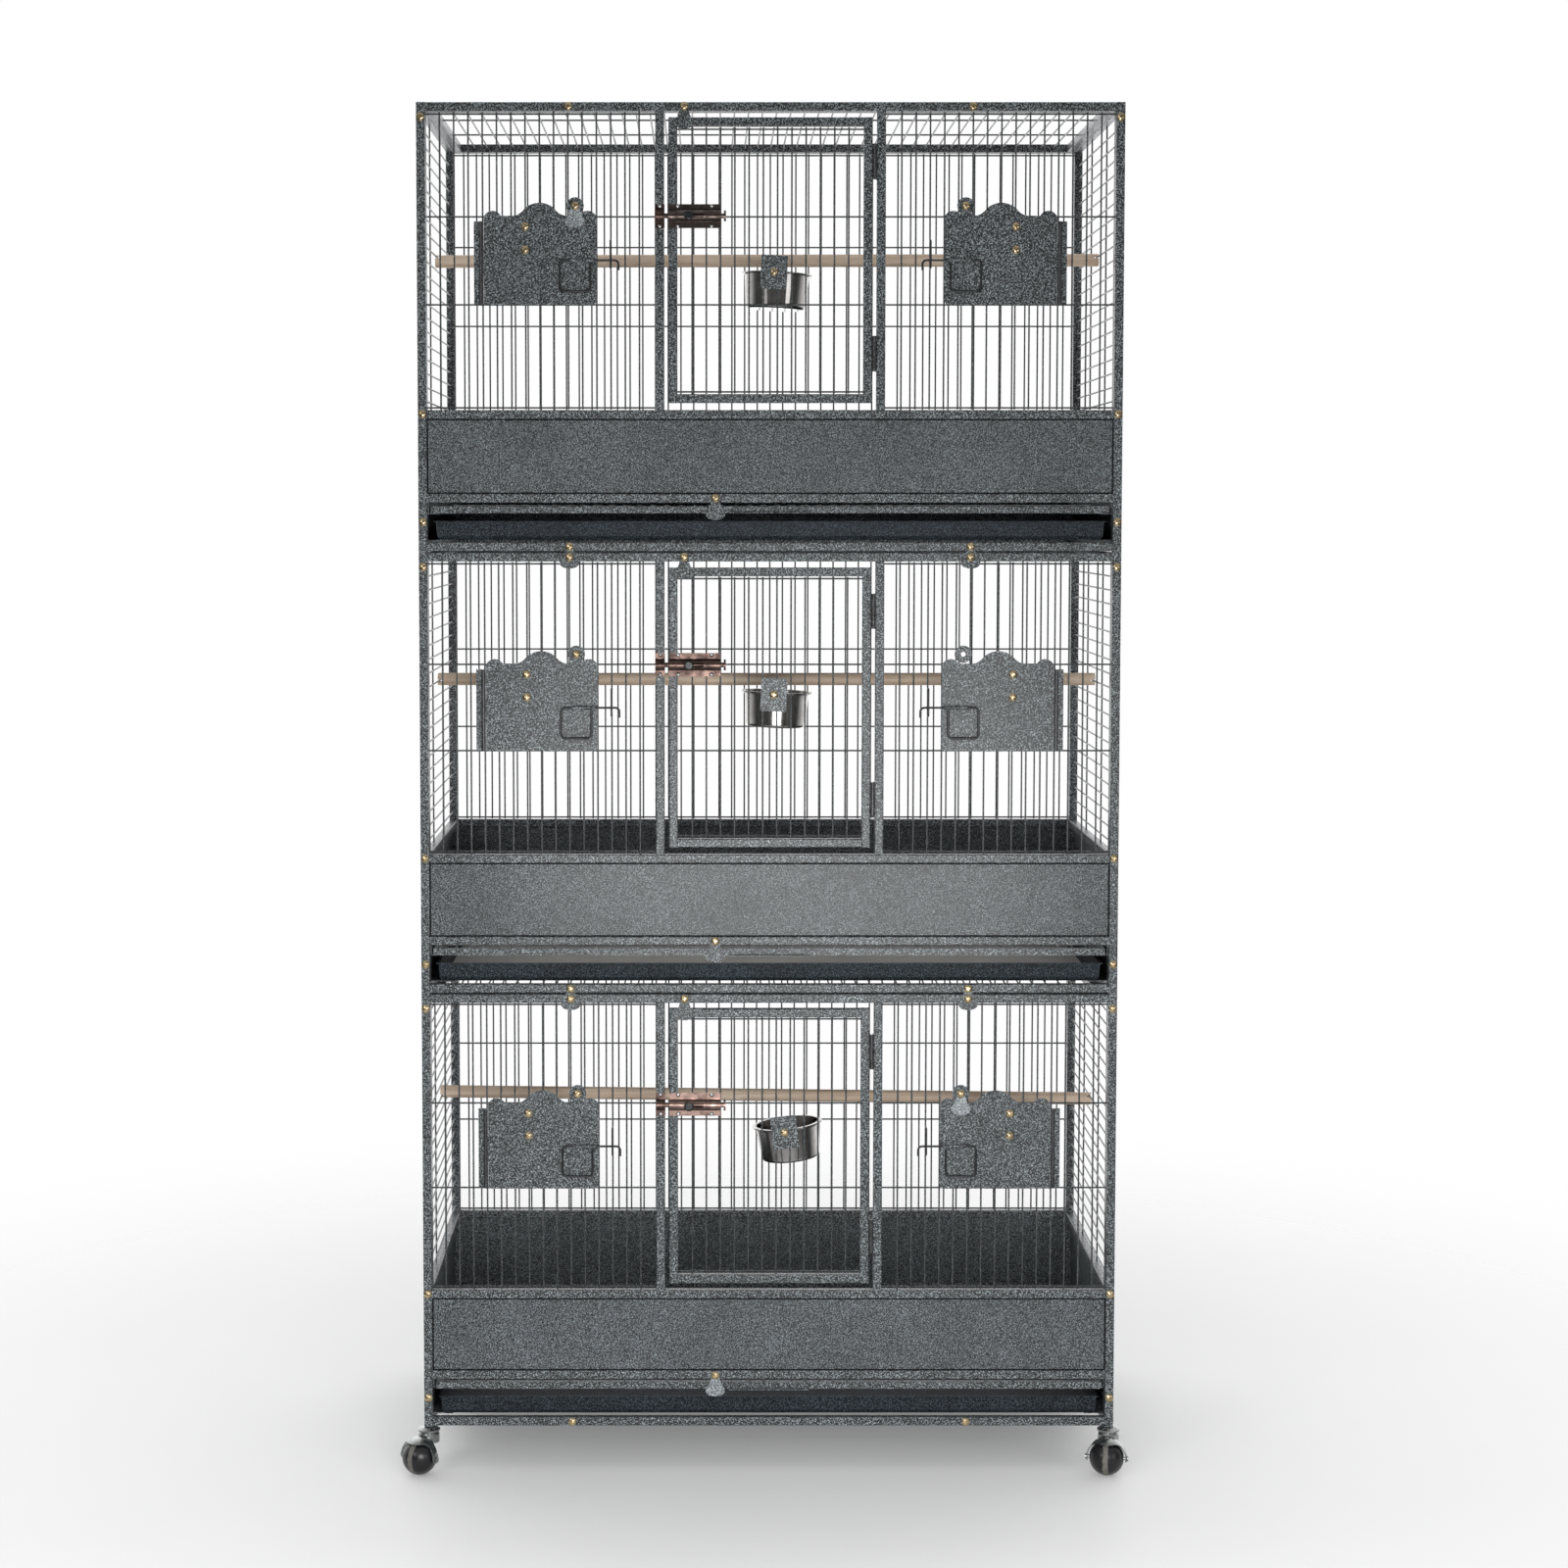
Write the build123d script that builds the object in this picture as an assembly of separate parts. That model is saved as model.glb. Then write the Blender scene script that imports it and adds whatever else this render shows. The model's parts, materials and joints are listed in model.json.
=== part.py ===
from build123d import *
import os
from math import atan2, degrees

# A breeding cage of three wire tiers, stacked on casters, in millimetres.
# The origin is on the floor under the middle of the cage. +Z is up and the doors face -Y.

# Overall sizes
cage_width = 1016.0
cage_depth = 508.0
tier_height = 644.0
caster_height = 65.0
tier_names = ("bottom", "middle", "top")

# Stock that the panels are welded from
tube = 12.7
tube_wall = 1.2
tube_corner = 1.6
sheet = 1.2
wire = 2.5
wire_pitch = 20.46
weld_gap = 0.15
weld_width = 1.5
weld_sink = 0.75
weld_bite = 0.2

# Clearances
running_fit = 0.08
thread_fit = 0.05
swing_gap = 0.4
slide_gap = 0.2

# Heights within a tier, from the foot of its posts
post_foot = 2.2
tray_slot = 57.3
apron_height = 107.8
cross_wire_low = 356.4
cross_wire_high = 482.0
side_wire_height = 445.0
edge_wire_inset = 3.4
tied_wire_step = 6

# Apron sheets: a raised field with a recessed line round it
apron_recess = 2.0
apron_line = 2.0
apron_step = 1.6

# Door, hung in the middle of the front panel
door_width = 292.8
door_side_gap = 6.25
door_sill_gap = 10.2
door_head_gap = 8.8
hinge_heights = (286.0, 559.5)
hinge_length = 51.0
hinge_leaf = 1.4
hinge_leaf_depth = 10.0
hinge_barrel = 5.8
hinge_pin = 3.0
hinge_stand_off = 1.6
knuckle_gap = 0.4

# Wires of the front bays, counted from the door stile
first_wire_gap = 23.05
flap_first_wire = 3
flap_last_wire = 11

# Feeder flaps
flap_sheet = 1.4
flap_wire_gap = 0.7
flap_bottom = 356.0
flap_valley = 483.0
flap_corner = 7.0
flap_hinge_gap = 1.7
flap_hinge_offset = 2.0
flap_strip_width = 13.9
flap_hinge_low = 357.0
flap_hinge_length = 118.0
flap_barrel = 5.5
flap_pin = 2.4
flap_tang = 1.2
crest_height = 18.5
crest_shoulder = 9.5
crest_half_width = 22.0
crest_foot = 38.0
crest_sweep = 29.3
crest_sweep_rise = 2.9
shoulder_rise = 7.0
shoulder_fall = 2.0
shoulder_from_edge = 12.5
shoulder_width = 24.5
feeder_plate_width = 40.0
feeder_plate_height = 52.0
feeder_plate_height_above_foot = 451.0
feeder_screw_spread = 33.0
feeder_screw_from_crest = 21.0

# Wire latches of the feeder flaps
latch_wire = 3.2
latch_height = 419.4
latch_bend = 6.0
latch_tip = 31.5
latch_tail = 14.4
latch_handle_from_edge = 9.0
latch_handle_width = 44.0
latch_handle_drop = 44.4
latch_end_gap = 3.9
guide_length = 33.0
guide_from_edge = 4.6
guide_wall = 1.2
staple_below = 11.4
staple_above = 27.6
staple_reach = 13.1
staple_bend = 3.2

# Turn tabs and their screws
tab_sheet = 1.5
tab_head = 6.3
tab_waist = 8.2
tab_waist_drop = 11.0
tab_lobe = 13.6
tab_lobe_drop = 20.0
tab_cheek = 13.2
tab_cheek_drop = 26.0
tab_foot = 9.0
tab_foot_drop = 29.8
tab_length = 31.5
tab_spacer = 10.0
tab_nut = 3.0
pivot_shank = 4.8
pivot_depth = 9.0
door_tab_x = -124.0
tray_tab_x = -79.0
flap_tab_rise = 14.0
ring_radius = 12.5
ring_hole = 3.5
ring_sheet = 1.7

# Brass pan-head screws
screw_head = 12.0
screw_dome = 3.2
screw_edge = 0.8
screw_shank = 4.0
screw_length = 18.0
screw_slot = 1.3
screw_slot_length = 5.6
screw_slot_depth = 1.4
post_screw_heights = (44.0, 199.4, 623.0)
rail_screw_x = 290.0

# Barrel bolts
bolt_height = 482.0
bolt_plate = 1.2
bolt_plate_length = 75.0
bolt_plate_height = 34.0
bolt_barrel = 16.0
bolt_rod = 7.0
bolt_stand_off = 4.8
bolt_knob_from_edge = 29.0
bolt_knob = 13.6
bolt_knob_height = 7.0
bolt_knob_stem = 5.0
bolt_knob_gap = 0.6
bolt_travel = 18.0
bolt_tail = 16.0
bolt_tail_sheet = 3.0
bolt_tail_gap = 4.5
keeper_width = 14.0
keeper_play = 0.6
rivet_head = 6.0
rivet_rise = 1.8
rivet_edge = 0.3
rivet_spread = 28.0
rivet_inset = 13.2

# Stainless bowls: place of the clamp screw on each door, and how far the bowl leans
bowl_rim = 104.0
bowl_top = 94.0
bowl_base = 87.0
bowl_height = 52.0
bowl_sheet = 1.0
bowl_base_round = 5.0
bowl_rim_drop = 2.4
bowl_offset = 5.5
bowl_bracket = 30.0
bowl_bracket_height = 40.0
bowl_bracket_sheet = 2.0
bowl_plate_width = 38.0
bowl_plate_height = 48.0
clamp_gap = 0.1
bowl_places = {"bottom": (22.6, 439.0, -6.5), "middle": (5.9, 438.0, 2.3), "top": (5.2, 403.0, 3.0)}

# Tray and grate
tray_height = 27.0
tray_lift = 3.6
tray_rim = 3.0
tray_rim_sheet = 1.5
tray_flare = 1.5
tray_bend = 5.5
tray_bend_inset = 5.0
tray_side_gap = 9.0
tray_front_gap = 3.0
tray_back_gap = 5.0
ledge = 1.5
tray_ledge_width = 29.0
grate_ledge_width = 17.0
grate_drop = 15.4
grate_bar = 10.0
grate_side_gap = 5.3
grate_front_gap = 3.0
grate_back_gap = 5.0
grate_pull_width = 117.0
grate_pull_reach = 8.0
grate_cross_wires = 3

# Perches: heights of the left and right ends
perch_diameter = 19.0
perch_end_gap = 4.0
perch_slit_play = 0.5
perch_slit_depth = 7.0
perch_ends = {"bottom": (451.0, 439.5), "middle": (447.0, 447.0), "top": (439.0, 441.0)}

# Ball casters: the yoke trails behind its stem, turned as the cage was last rolled
caster_ball = 51.0
caster_ball_width = 49.0
caster_band = 8.0
caster_trail = 24.5
caster_flange = 33.0
caster_flange_height = 10.0
caster_bevel = 5.0
caster_bevel_drop = 3.0
caster_flange_edge = 2.5
caster_groove = 28.0
caster_groove_rise = 2.5
caster_collar = 31.0
caster_collar_drop = 12.0
caster_hood_gap = 2.6
caster_hood_sheet = 1.8
caster_mouth_rise = 23.5
caster_mouth_bend = 8.0
caster_leg_width = 11.5
caster_axle = 5.0
caster_axle_head = 8.0
caster_axle_head_rise = 1.6
caster_stem = 8.0
caster_stem_length = 34.0
caster_seat_gap = 0.3
socket_length = 40.0
socket_fit = 0.15
caster_turns = {"front_left": -29.6, "front_right": -12.7, "back_right": 150.4, "back_left": 167.3}

# Places that follow from the sizes above
half_width = cage_width / 2
half_depth = cage_depth / 2
post_x = half_width - tube / 2
inner_x = half_width - tube
front_y = -half_depth + tube / 2
inner_y = half_depth - tube
side_stile_y = inner_y - tube / 2
side_inner_y = inner_y - tube
bottom_rail_z = post_foot + tube / 2
low_apron_rail_z = post_foot + tube + tray_slot + tube / 2
high_apron_rail_z = low_apron_rail_z + tube + apron_height
top_rail_z = tier_height - tube / 2
rail_heights = (bottom_rail_z, low_apron_rail_z, high_apron_rail_z, top_rail_z)
apron_low = low_apron_rail_z + tube / 2
apron_high = high_apron_rail_z - tube / 2
mesh_low = high_apron_rail_z + tube / 2
mesh_high = top_rail_z - tube / 2
row_step = wire + weld_gap
wire_face = front_y - wire / 2
door_edge = door_width / 2
stile_x = door_edge + door_side_gap + tube / 2
door_low = mesh_low + door_sill_gap
door_high = mesh_high - door_head_gap
hinge_x = door_edge + door_side_gap / 2
hinge_y = -half_depth - hinge_stand_off
bay_start = stile_x + tube / 2


def block(x0, x1, y0, y1, z0, z1):
    """A box between two corners."""
    return Pos((x0 + x1) / 2, (y0 + y1) / 2, (z0 + z1) / 2) * Box(x1 - x0, y1 - y0, z1 - z0)


def rod_x(x0, x1, y, z, diameter):
    return Pos((x0 + x1) / 2, y, z) * Rot(0, 90, 0) * Cylinder(diameter / 2, x1 - x0)


def rod_y(y0, y1, x, z, diameter):
    return Pos(x, (y0 + y1) / 2, z) * Rot(90, 0, 0) * Cylinder(diameter / 2, y1 - y0)


def rod_z(z0, z1, x, y, diameter):
    return Pos(x, y, (z0 + z1) / 2) * Cylinder(diameter / 2, z1 - z0)


def weld(pieces):
    """One solid of pieces that overlap."""
    return pieces[0].fuse(*pieces[1:])


def mirrored(shapes):
    """The left-hand twins of right-hand pieces."""
    return [mirror(shape, about=Plane.YZ) for shape in shapes]


def bent_wire(points, bend, diameter):
    """A round wire along straight runs with rounded bends."""
    path = FilletPolyline(*points, radius=bend)
    section = Plane(origin=path @ 0, z_dir=path % 0) * Circle(diameter / 2)
    return sweep(section, path)


def tube_section():
    bore = tube - 2 * tube_wall
    return RectangleRounded(tube, tube, tube_corner) - RectangleRounded(bore, bore, tube_corner - tube_wall)


def tube_x(x0, x1, y, z):
    return Pos(x0, y, z) * Rot(0, 90, 0) * extrude(tube_section(), x1 - x0)


def tube_y(y0, y1, x, z):
    return Pos(x, y0, z) * Rot(-90, 0, 0) * extrude(tube_section(), y1 - y0)


def tube_z(z0, z1, x, y):
    return Pos(x, y, z0) * extrude(tube_section(), z1 - z0)


def screw_holes(piece, places, y0, y1, diameter):
    """Holes along Y through a tube at the given places."""
    for x, z in places:
        piece = piece - rod_y(y0, y1, x, z, diameter)
    return piece


def corner_post(x, y, screw_end):
    """A post closed at its head and open at its foot, drilled for the screws into the side panel."""
    post = tube_z(0, tier_height, x, y)
    bore = tube - 2 * tube_wall
    cap = Pos(x, y, tier_height - tube_wall / 2) * Box(bore, bore, tube_wall)
    places = [(x, z) for z in post_screw_heights]
    hole = screw_shank + 2 * thread_fit
    return screw_holes(weld([post, cap]), places, min(y, screw_end) - tube, max(y, screw_end) + tube, hole)


def wire_grid(columns, rows, row_side):
    """Upright wires at y = 0 and cross wires on one side of them, welded where they cross.

    A column is (x, low, high) and a row is (z, start, end).
    """
    offset = row_side * row_step
    pieces = [rod_z(low, high, x, 0, wire) for x, low, high in columns]
    pieces += [rod_x(start, end, offset, z, wire) for z, start, end in rows]
    nugget = Box(weld_width, weld_gap + 2 * weld_sink, weld_width)
    for x, low, high in columns:
        for z, start, end in rows:
            if low < z < high and start < x < end:
                pieces.append(Pos(x, offset / 2, z) * nugget)
    return weld(pieces)


def even_places(half_span):
    """Wire places at the pitch, even about the middle, with the last gap no smaller than half a pitch."""
    places = []
    x = wire_pitch / 2
    while x < half_span - wire_pitch / 2:
        places += [-x, x]
        x += wire_pitch
    return sorted(places)


def bay_places():
    places = []
    x = bay_start + first_wire_gap
    while x < inner_x - wire_pitch / 2:
        places.append(x)
        x += wire_pitch
    return places


bay_wires = bay_places()
flap_edge = bay_wires[flap_first_wire]
flap_hinge_x = bay_wires[flap_last_wire] + flap_hinge_offset
flap_outer = bay_wires[flap_last_wire] - flap_hinge_gap
flap_middle = (bay_wires[flap_first_wire] + bay_wires[flap_last_wire]) / 2
flap_back = wire_face - flap_wire_gap
flap_front = flap_back - flap_sheet
strip_back = wire_face + weld_bite
strip_front = strip_back - sheet
flap_axis_y = strip_front - swing_gap - flap_barrel / 2
ring_x = (bay_wires[flap_first_wire + 1] + bay_wires[flap_first_wire + 2]) / 2
ring_z = flap_valley + flap_tab_rise
ring_front = strip_back - ring_sheet
guide_bore = latch_wire + 2 * running_fit
guide_outer = guide_bore + 2 * guide_wall
latch_y = flap_front - guide_outer / 2
bolt_face = -half_depth - bolt_plate
bolt_y = bolt_face - bolt_stand_off


def upright_wires(places, low, high):
    """Uprights that stop at the edge wires, with every few of them run on to the rails."""
    short_low = low + edge_wire_inset - wire
    short_high = high - edge_wire_inset + wire
    columns = []
    for number, x in enumerate(places):
        tied = number % tied_wire_step == 0
        columns.append((x, low, high) if tied else (x, short_low, short_high))
    return columns


def panel_rows(low, high, start, end):
    heights = (low + edge_wire_inset, cross_wire_low, cross_wire_high, high - edge_wire_inset)
    return [(z, start, end) for z in heights]


def bay_grille():
    """Right-hand wire bay, with the uprights left out across the feeder opening."""
    columns = []
    for number, (x, low, high) in enumerate(upright_wires(bay_wires, mesh_low, mesh_high)):
        if flap_first_wire < number < flap_last_wire:
            columns.append((x, low, cross_wire_low + wire / 2))
            columns.append((x, cross_wire_high - wire / 2, high))
        else:
            columns.append((x, low, high))
    rows = panel_rows(mesh_low, mesh_high, bay_start, inner_x)
    return Pos(0, front_y, 0) * wire_grid(columns, rows, 1)


def knuckle_spans(low, length):
    """Heights of the three knuckles of a hinge, from the bottom one up."""
    third = length / 3
    return [(low + k * third + knuckle_gap / 2, low + (k + 1) * third - knuckle_gap / 2) for k in range(3)]


def flap_strip():
    """Hinge strip of a feeder flap, welded to a wire of the bay, with the pin and the outer knuckles."""
    start = flap_hinge_x - flap_hinge_offset - wire / 2
    high = flap_hinge_low + flap_hinge_length
    pieces = [block(start, start + flap_strip_width, strip_front, strip_back, flap_hinge_low, high)]
    spans = knuckle_spans(flap_hinge_low, flap_hinge_length)
    for low, top in (spans[0], spans[2]):
        pieces.append(rod_z(low, top, flap_hinge_x, flap_axis_y, flap_barrel))
        web_end = flap_hinge_x + flap_barrel / 2
        pieces.append(block(flap_hinge_x, web_end, flap_axis_y, strip_back, low, top))
    pin_low = flap_hinge_low + knuckle_gap
    pieces.append(rod_z(pin_low, high - knuckle_gap, flap_hinge_x, flap_axis_y, flap_pin))
    return weld(pieces)


def latch_staple():
    """Wire loop on the bay that the latch rod passes through."""
    x = bay_wires[flap_first_wire - 1]
    root = wire_face + weld_bite
    out = wire_face - staple_reach
    low = latch_height - staple_below
    high = latch_height + staple_above
    points = [(x, root, low), (x, out, low), (x, out, high), (x, root, high)]
    return bent_wire(points, staple_bend, latch_wire)


def tab_ring():
    """Drilled disc on the bay wires that carries the flap's turn tab."""
    disc = rod_y(ring_front, strip_back, ring_x, ring_z, 2 * ring_radius)
    return disc - rod_y(ring_front - 1, strip_back + 1, ring_x, ring_z, 2 * ring_hole)


def door_hinge(z, side, knuckles, bore):
    """One half of a butt hinge in the gap beside the door; side is -1 for the door and 1 for its stile."""
    face = hinge_x + side * door_side_gap / 2
    inside = face - side * hinge_leaf
    x0, x1 = min(face, inside), max(face, inside)
    low = z - hinge_length / 2
    back = -half_depth + hinge_leaf_depth
    leaf_front = hinge_y + hinge_barrel / 2 + swing_gap
    pieces = [block(x0, x1, leaf_front, back, low, low + hinge_length)]
    spans = knuckle_spans(low, hinge_length)
    for number in knuckles:
        start, end = spans[number]
        pieces.append(block(x0, x1, hinge_y, leaf_front, start, end))
        pieces.append(rod_z(start, end, hinge_x, hinge_y, hinge_barrel))
    leaf = weld(pieces)
    return leaf - rod_z(low, low + hinge_length, hinge_x, hinge_y, bore)


def hinge_pin_of(z):
    low = z - hinge_length / 2 + knuckle_gap
    return rod_z(low, low + hinge_length - 2 * knuckle_gap, hinge_x, hinge_y, hinge_pin)


def apron_panel(half_span, y_front):
    """Sheet between two rails, facing -Y: a raised field inside a recessed line."""
    field_front = y_front + apron_recess
    back_front = field_front + apron_step
    backing = block(-half_span, half_span, back_front, back_front + sheet, apron_low, apron_high)
    low = apron_low + apron_line
    high = apron_high - apron_line
    reach = half_span - apron_line
    field = block(-reach, reach, field_front, back_front + sheet / 2, low, high)
    return weld([backing, field])


def skirt(half_span, y_front):
    """Plain sheet, facing -Y, that closes the tray slot where no tray goes through it."""
    y = y_front + apron_recess + apron_step
    low = bottom_rail_z + tube / 2
    return block(-half_span, half_span, y, y + sheet, low, low + tray_slot)


def front_panel():
    """Posts, rails, stiles, apron, wire bays and the fixed hardware welded to them."""
    solids = [corner_post(-post_x, front_y, -inner_y), corner_post(post_x, front_y, -inner_y)]
    y0 = -half_depth - 1
    y1 = -half_depth + tube + 1
    screw_hole = screw_shank + 2 * thread_fit
    pivot_hole = pivot_shank + 2 * running_fit
    screw_xs = (-rail_screw_x, rail_screw_x)
    for z in rail_heights:
        rail = tube_x(-inner_x, inner_x, front_y, z)
        if z in (bottom_rail_z, top_rail_z):
            rail = screw_holes(rail, [(x, z) for x in screw_xs], y0, y1, screw_hole)
        if z == top_rail_z:
            rail = screw_holes(rail, [(door_tab_x, z)], y0, front_y, pivot_hole)
        if z == low_apron_rail_z:
            rail = screw_holes(rail, [(tray_tab_x, z)], y0, front_y, pivot_hole)
        solids.append(rail)
    solids += [tube_z(mesh_low, mesh_high, x, front_y) for x in (-stile_x, stile_x)]
    solids.append(apron_panel(inner_x, -half_depth))
    right = [weld([bay_grille(), flap_strip(), latch_staple(), tab_ring()])]
    solids += right + mirrored(right)
    for z in hinge_heights:
        solids.append(weld([door_hinge(z, 1, (0, 2), hinge_pin), hinge_pin_of(z)]))
    return solids


def back_panel():
    """Posts, rails, apron, skirt and one wide grille, built as a front and turned about."""
    solids = [corner_post(x, front_y, -inner_y) for x in (-post_x, post_x)]
    solids += [tube_x(-inner_x, inner_x, front_y, z) for z in rail_heights]
    solids += [apron_panel(inner_x, -half_depth), skirt(inner_x, -half_depth)]
    columns = upright_wires(even_places(inner_x), mesh_low, mesh_high)
    rows = panel_rows(mesh_low, mesh_high, -inner_x, inner_x)
    solids.append(Pos(0, front_y, 0) * wire_grid(columns, rows, 1))
    return [Rot(0, 0, 180) * solid for solid in solids]


def side_wire_heights():
    heights = []
    z = side_wire_height
    while z - wire_pitch > mesh_low + wire_pitch / 2:
        z -= wire_pitch
    while z < mesh_high - wire_pitch / 2:
        heights.append(z)
        z += wire_pitch
    return heights


def side_panel():
    """Right-hand side between the front and back panels, with the ledges for the tray and grate."""
    hole = screw_shank + 2 * thread_fit
    stile = tube_z(post_foot, tier_height, post_x, -side_stile_y)
    places = [(post_x, z) for z in post_screw_heights]
    stile = screw_holes(stile, places, -inner_y - 1, -side_stile_y, hole)
    solids = [stile, mirror(stile, about=Plane.XZ)]
    solids += [tube_y(-side_inner_y, side_inner_y, post_x, z) for z in rail_heights]
    for sheet_metal in (apron_panel(side_inner_y, -half_width), skirt(side_inner_y, -half_width)):
        solids.append(Rot(0, 0, 90) * sheet_metal)
    thirds = (-cage_depth / 6, cage_depth / 6)
    columns = [(y, mesh_low, mesh_high) for y in thirds]
    rows = [(z, -side_inner_y, side_inner_y) for z in side_wire_heights()]
    solids.append(Pos(post_x + row_step, 0, 0) * Rot(0, 0, 90) * wire_grid(columns, rows, 1))
    wall = inner_x - ledge
    tray_top = post_foot + tube + tray_lift
    tray_wall = block(wall, inner_x, -inner_y, inner_y, post_foot, tray_top)
    tray_shelf = block(inner_x - tray_ledge_width, inner_x, -inner_y, inner_y, tray_top - ledge, tray_top)
    grate_top = apron_low - tube - grate_drop
    grate_wall = block(wall, inner_x, -inner_y, inner_y, grate_top - ledge, apron_low)
    grate_start = inner_x - grate_ledge_width
    grate_shelf = block(grate_start, inner_x, -inner_y, inner_y, grate_top - ledge, grate_top)
    solids += [weld([tray_wall, tray_shelf]), weld([grate_wall, grate_shelf])]
    return solids


def roof_panel():
    """Tube frame inside the top rails, with front-to-back wires and two cross wires over them."""
    z = top_rail_z
    front = tube_x(-inner_x, inner_x, -side_stile_y, z)
    places = [(-rail_screw_x, z), (rail_screw_x, z)]
    front = screw_holes(front, places, -inner_y - 1, -side_stile_y, screw_shank + 2 * thread_fit)
    back = tube_x(-inner_x, inner_x, side_stile_y, z)
    side_x = inner_x - tube / 2
    sides = [tube_y(-side_inner_y, side_inner_y, x, z) for x in (-side_x, side_x)]
    reach = inner_x - tube
    columns = [(x, -side_inner_y, side_inner_y) for x in even_places(reach)]
    rows = [(y, -reach, reach) for y in (-cage_depth / 6, cage_depth / 6)]
    grille = Pos(0, 0, z) * Rot(-90, 0, 0) * wire_grid(columns, rows, -1)
    return [front, back, *sides, grille]


def domed_head(diameter, rise, edge):
    """Round head along +Z: a short straight edge under a spherical crown."""
    rim = diameter / 2
    crown = rise - edge
    ball = (rim**2 + crown**2) / (2 * crown)
    return (Pos(0, 0, rise / 2) * Cylinder(rim, rise)) & (Pos(0, 0, rise - ball) * Sphere(ball))


def pan_screw(length, shank):
    """Cross-slotted pan-head screw along +Y, with the underside of its head at the origin."""
    head = domed_head(screw_head, screw_dome, screw_edge)
    for width, height in ((screw_slot_length, screw_slot), (screw_slot, screw_slot_length)):
        head = head - Pos(0, 0, screw_dome) * Box(width, height, 2 * screw_slot_depth)
    body = weld([head, rod_z(-length, screw_edge, 0, 0, shank)])
    return Rot(90, 0, 0) * body


def dome_rivet():
    """Round-headed rivet that stands out along -Y."""
    return Rot(90, 0, 0) * domed_head(rivet_head, rivet_rise, rivet_edge)


def pear_outline():
    """Outline of a turn tab that hangs from the origin: round head, flared lobe."""
    lobe = (tab_lobe, -tab_lobe_drop)
    corner = (tab_foot, -tab_foot_drop)
    side = [
        ThreePointArc((tab_head, 0), (tab_waist, -tab_waist_drop), lobe),
        ThreePointArc(lobe, (tab_cheek, -tab_cheek_drop), corner),
    ]
    twin = [mirror(curve, about=Plane.YZ) for curve in side]
    head = ThreePointArc((-tab_head, 0), (0, tab_head), (tab_head, 0))
    foot = ThreePointArc(corner, (0, -tab_length), (-tab_foot, -tab_foot_drop))
    return make_face([head, *side, foot, *twin])


def pear_plate():
    """The pear outline as sheet, with its back at y = 0."""
    return Rot(90, 0, 0) * extrude(pear_outline(), tab_sheet)


def turn_tab(x, y, z):
    """Tab that swings on a shouldered screw; y is the face that it is mounted on."""
    plate = pear_plate() - rod_y(-2 * tab_sheet, tab_sheet, 0, 0, pivot_shank + 2 * thread_fit)
    head = Pos(0, -tab_sheet, 0) * pan_screw(tab_sheet + swing_gap + pivot_depth, pivot_shank)
    return [Pos(x, y - swing_gap, z) * piece for piece in (plate, head)]


def flap_turn_tab():
    """Tab on the bay's ring, with a spacer that holds it clear of the feeder flap."""
    face = flap_front - swing_gap
    plate = pear_plate() - rod_y(-2 * tab_sheet, tab_sheet, 0, 0, pivot_shank + 2 * thread_fit)
    reach = face - ring_front
    spacer = rod_y(0, -reach - slide_gap, 0, 0, tab_spacer)
    nut_start = -reach + ring_sheet + slide_gap
    nut = rod_y(nut_start, nut_start + tab_nut, 0, 0, tab_spacer)
    screw = Pos(0, -tab_sheet, 0) * pan_screw(tab_sheet + nut_start + tab_nut, pivot_shank)
    return [Pos(ring_x, face, ring_z) * piece for piece in (plate, weld([screw, spacer, nut]))]


def door():
    """Tube frame, wires and hinge leaves."""
    edge = door_edge - tube / 2
    inside = door_edge - tube
    solids = [tube_z(door_low, door_high, x, front_y) for x in (-edge, edge)]
    solids += [tube_x(-inside, inside, front_y, z) for z in (door_low + tube / 2, door_high - tube / 2)]
    low = door_low + tube
    high = door_high - tube
    columns = upright_wires(even_places(inside), low, high)
    grille = wire_grid(columns, panel_rows(low, high, -inside, inside), 1)
    solids.append(Pos(0, front_y, 0) * grille)
    solids += [door_hinge(z, -1, (1,), hinge_pin + 2 * running_fit) for z in hinge_heights]
    return solids


def bolt_shell(x0, x1, bore):
    """Plate with a half-round barrel along X, as pressed for the bolt and for its keeper."""
    z = bolt_height
    half = bolt_plate_height / 2
    round_half = bolt_barrel / 2
    plate = block(x0, x1, bolt_face, -half_depth, z - half, z + half)
    web = block(x0, x1, bolt_y, bolt_face, z - round_half, z + round_half)
    front = bolt_y - bolt_barrel
    in_front = block(x0, x1, front, -half_depth, z - bolt_barrel, z + bolt_barrel)
    barrel = rod_x(x0, x1, bolt_y, z, bolt_barrel) & in_front
    return weld([plate, web, barrel]) - rod_x(x0 - 1, x1 + 1, bolt_y, z, bore)


def rivets(xs):
    heights = (bolt_height - rivet_spread / 2, bolt_height + rivet_spread / 2)
    return [Pos(x, bolt_face, z) * dome_rivet() for x in xs for z in heights]


bolt_start = -door_edge
bolt_end = bolt_start + bolt_plate_length
knob_x = bolt_start + bolt_knob_from_edge


def bolt_barrel_plate():
    shell = bolt_shell(bolt_start, bolt_end, bolt_rod + 2 * running_fit)
    half_stem = bolt_knob_stem / 2 + swing_gap
    front = bolt_y - bolt_barrel
    slot = block(knob_x - half_stem, knob_x + bolt_travel + half_stem, front, bolt_y,
                 bolt_height - half_stem, bolt_height + half_stem)
    return [shell - slot, *rivets((bolt_start + rivet_inset, bolt_end - rivet_inset))]


def bolt_keeper():
    x0 = -stile_x - keeper_width / 2
    shell = bolt_shell(x0, x0 + keeper_width, bolt_rod + 2 * keeper_play)
    return [shell, *rivets((-stile_x,))]


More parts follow.
